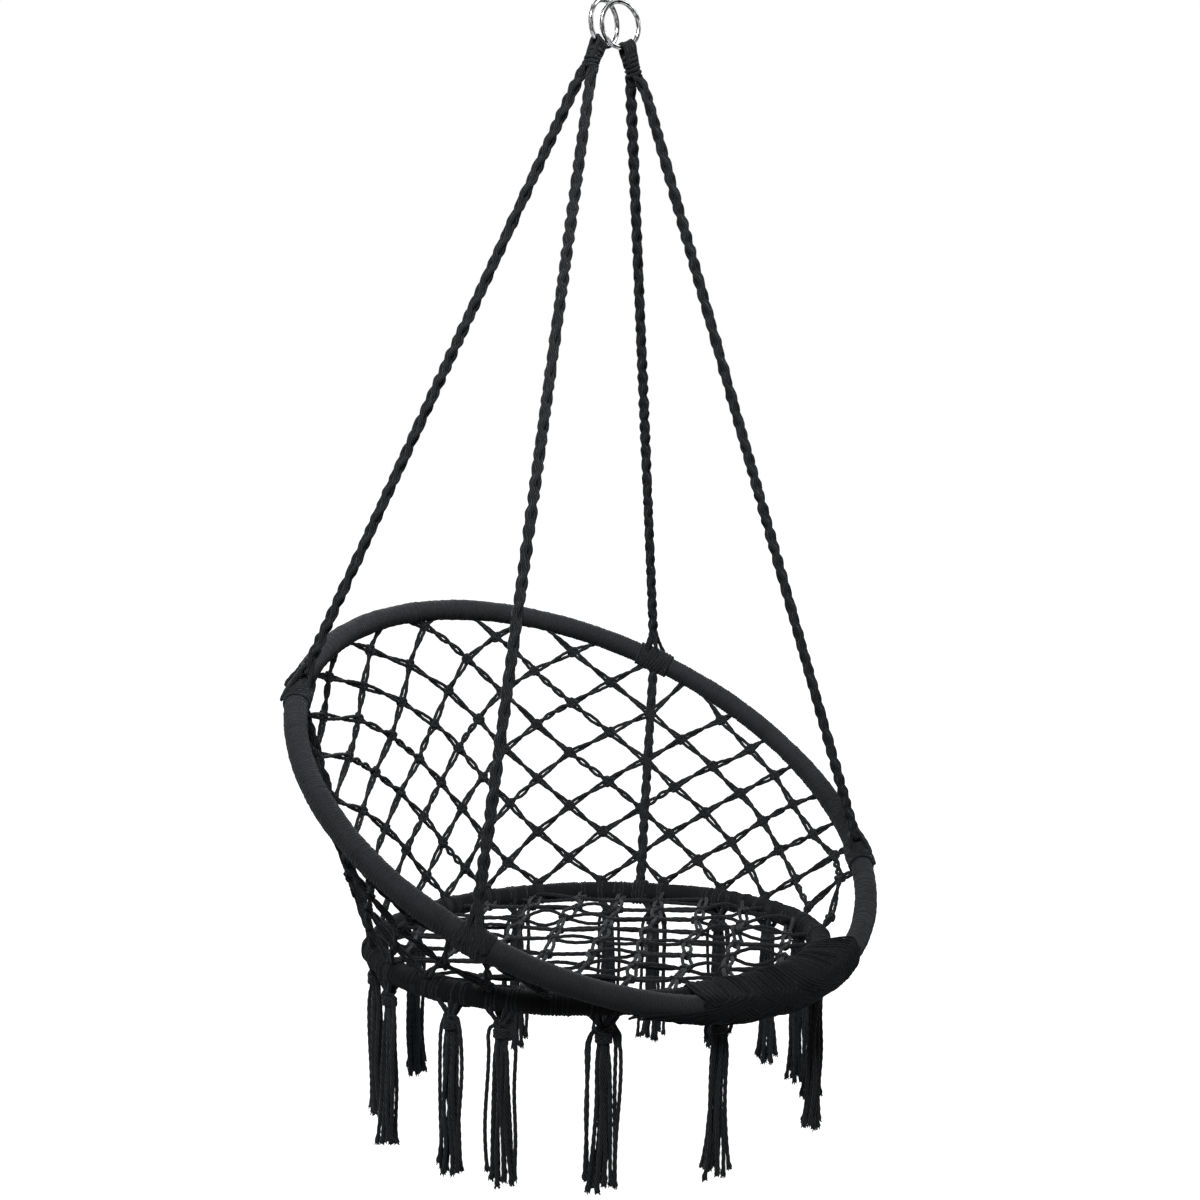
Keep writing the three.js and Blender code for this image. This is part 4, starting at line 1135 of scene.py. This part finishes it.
def add_tassel(number, degrees, rng):
    angle = math.radians(degrees)
    node = f"tassel_{number:02d}"
    shape = Shape()
    hoop = seat_point(np.array(angle))
    out, _, along = seat_frame(np.array(angle))
    centre = to_part(hoop)
    along = unit(to_part(hoop + along) - centre)
    out = unit(np.cross(along, UP))
    knot = centre - UP * TASSEL_KNOT_DROP

    for leg in (-1, 1):
        near, far, drop = rng.uniform(5, 8), rng.uniform(15, 20), 6.5
        if number in LASHED_TASSELS:
            near, far, drop = near + 2, far + 15, 15.5
        winding(shape, SEAT_HOOP, angle + leg * (near + far) / 2 / SEAT_RADIUS, SEAT_WRAP_RADIUS,
                (far - near) / 4, 1, RIM_CORD_RADIUS, rng, phase=math.pi)
        for cord in range(6):
            share = np.linspace(0, 1, 16)
            side = (1 if cord % 2 else -1) * (SEAT_WRAP_RADIUS - 3.5)
            top = centre + along * leg * (near + (far - near) * cord / 5) + out * side - UP * drop
            bow = np.sin(share * math.pi) * rng.uniform(0, 2)
            twist = share * rng.uniform(2, 4) + cord
            line = moved(top, (share, knot - top), (leg * bow + 1.6 * np.cos(twist), along),
                         (1.6 * np.sin(twist), out))
            shape.add_cords(line[None], TASSEL_CORD_RADIUS, sides=8)

    t = np.linspace(0, TURN, 44, endpoint=False)
    radius = 4.6 + 2.4 * np.cos(3 * t)
    ring = moved(knot, (radius * np.cos(2 * t) * 1.15, along), (radius * np.sin(2 * t), out),
                 (4.4 * np.sin(3 * t), UP))
    shape.add_cords(ring[None], 3.0, sides=9, closed=True)
    turns = 3
    share = np.linspace(0, 1, turns * 26)
    binding = moved(knot, (8.0 * np.cos(share * turns * TURN), along),
                    (7.4 * np.sin(share * turns * TURN), out), (-4 - share * 9, UP))
    shape.add_cords(binding[None], 2.2, sides=9)

    golden = math.pi * (3 - math.sqrt(5))
    sway = rng.normal(0, 2.2, 2)
    lengths = TASSEL_LENGTH - TASSEL_KNOT_DROP - 2 - rng.uniform(0, 14, TASSEL_STRANDS + 4)
    share = np.linspace(0, 1, 60)

    def add_strand(x, y, drop):
        wave = rng.uniform(0.6, 2.1, 2)[:, None] * np.sin(
            share * rng.uniform(4, 10, 2)[:, None] + rng.uniform(0, 6, 2)[:, None]) * smooth(drop / 30)
        x = x + sway[0] * share ** 2 + wave[0]
        y = y + sway[1] * share ** 2 + wave[1]
        line = moved(knot, (x, along), (y, out), (-drop, UP))
        swell = 1 + 0.5 * smooth((share - 0.955) / 0.045)
        shape.add_cords(line[None], TASSEL_CORD_RADIUS * swell, sides=8, ridge=0.12, lay=11.0)
        add_fray(shape, line[-1], along, out, rng)

    girth = LASHED_GIRTH if number in LASHED_TASSELS else 1
    for strand in range(TASSEL_STRANDS):
        turn = strand * golden + rng.uniform(-0.2, 0.2)
        rank = girth * math.sqrt((strand + 0.5) / TASSEL_STRANDS)
        drop = 2 + share * lengths[strand]
        open_out = 4.8 + 4.0 * smooth(drop / 45) + 1.2 * share + 5.0 * share ** 5
        add_strand(rank * open_out * math.cos(turn), rank * open_out * math.sin(turn) * 0.9, drop)
    bowed = BOWED_CORDS.get(number, rng.integers(1, 3, 2))
    for leg, cords in zip((-1, 1), bowed):
        for cord in range(cords):
            length = lengths[TASSEL_STRANDS + cord + (1 + leg)]
            drop = share * length
            reach = rng.uniform(11.5, 14.5) + cord * 3.4
            bend = 1 - np.exp(-drop / rng.uniform(5, 8))
            x = leg * (3.5 + reach * bend * (1 - rng.uniform(0, 0.25) * share))
            y = rng.uniform(-3, 3) + rng.uniform(-3, 3) * bend
            rise = 3.5 * np.exp(-((drop - 5) / 6) ** 2)
            add_strand(x, y, drop - rise)
    for side in STUB_ENDS.get(number, ()):
        share = np.linspace(0, 1, 14)
        x = side * (8 + 9 * np.sin(share * 2.2) + rng.uniform(0, 2))
        y = rng.uniform(-4, 4) * share
        stub = moved(knot, (x, along), (y, out), (9 - 26 * share, UP))
        shape.add_cords(stub[None], TASSEL_CORD_RADIUS, sides=8)
        add_fray(shape, stub[-1], along, out, rng)
    piece = shape.make(f"tassel_cords_{number:02d}", tassel_cotton)
    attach(piece, "seat")
    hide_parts(node)


def add_fray(shape, tip, along, out, rng):
    """Loose yarns that spread like a short brush from the cut end of a strand."""
    yarns = 8
    share = np.linspace(0, 1, 4)
    paths = []
    for yarn in range(yarns):
        turn = yarn * TURN / yarns + rng.uniform(-0.4, 0.4)
        spread = rng.uniform(0.8, 2.6)
        length = rng.uniform(3, 6.5)
        sideways = 1.3 + spread * share ** 1.4
        paths.append(moved(tip, (sideways * math.cos(turn), along), (sideways * math.sin(turn), out),
                           (2 - length * share, UP)))
    shape.add_cords(paths, np.linspace(0.95, 0.6, 4)[None], sides=5, lobes=1, ridge=0.05)


for index, degrees in enumerate(TASSEL_DEGREES):
    add_tassel(index + 1, degrees, np.random.default_rng(100 + index))
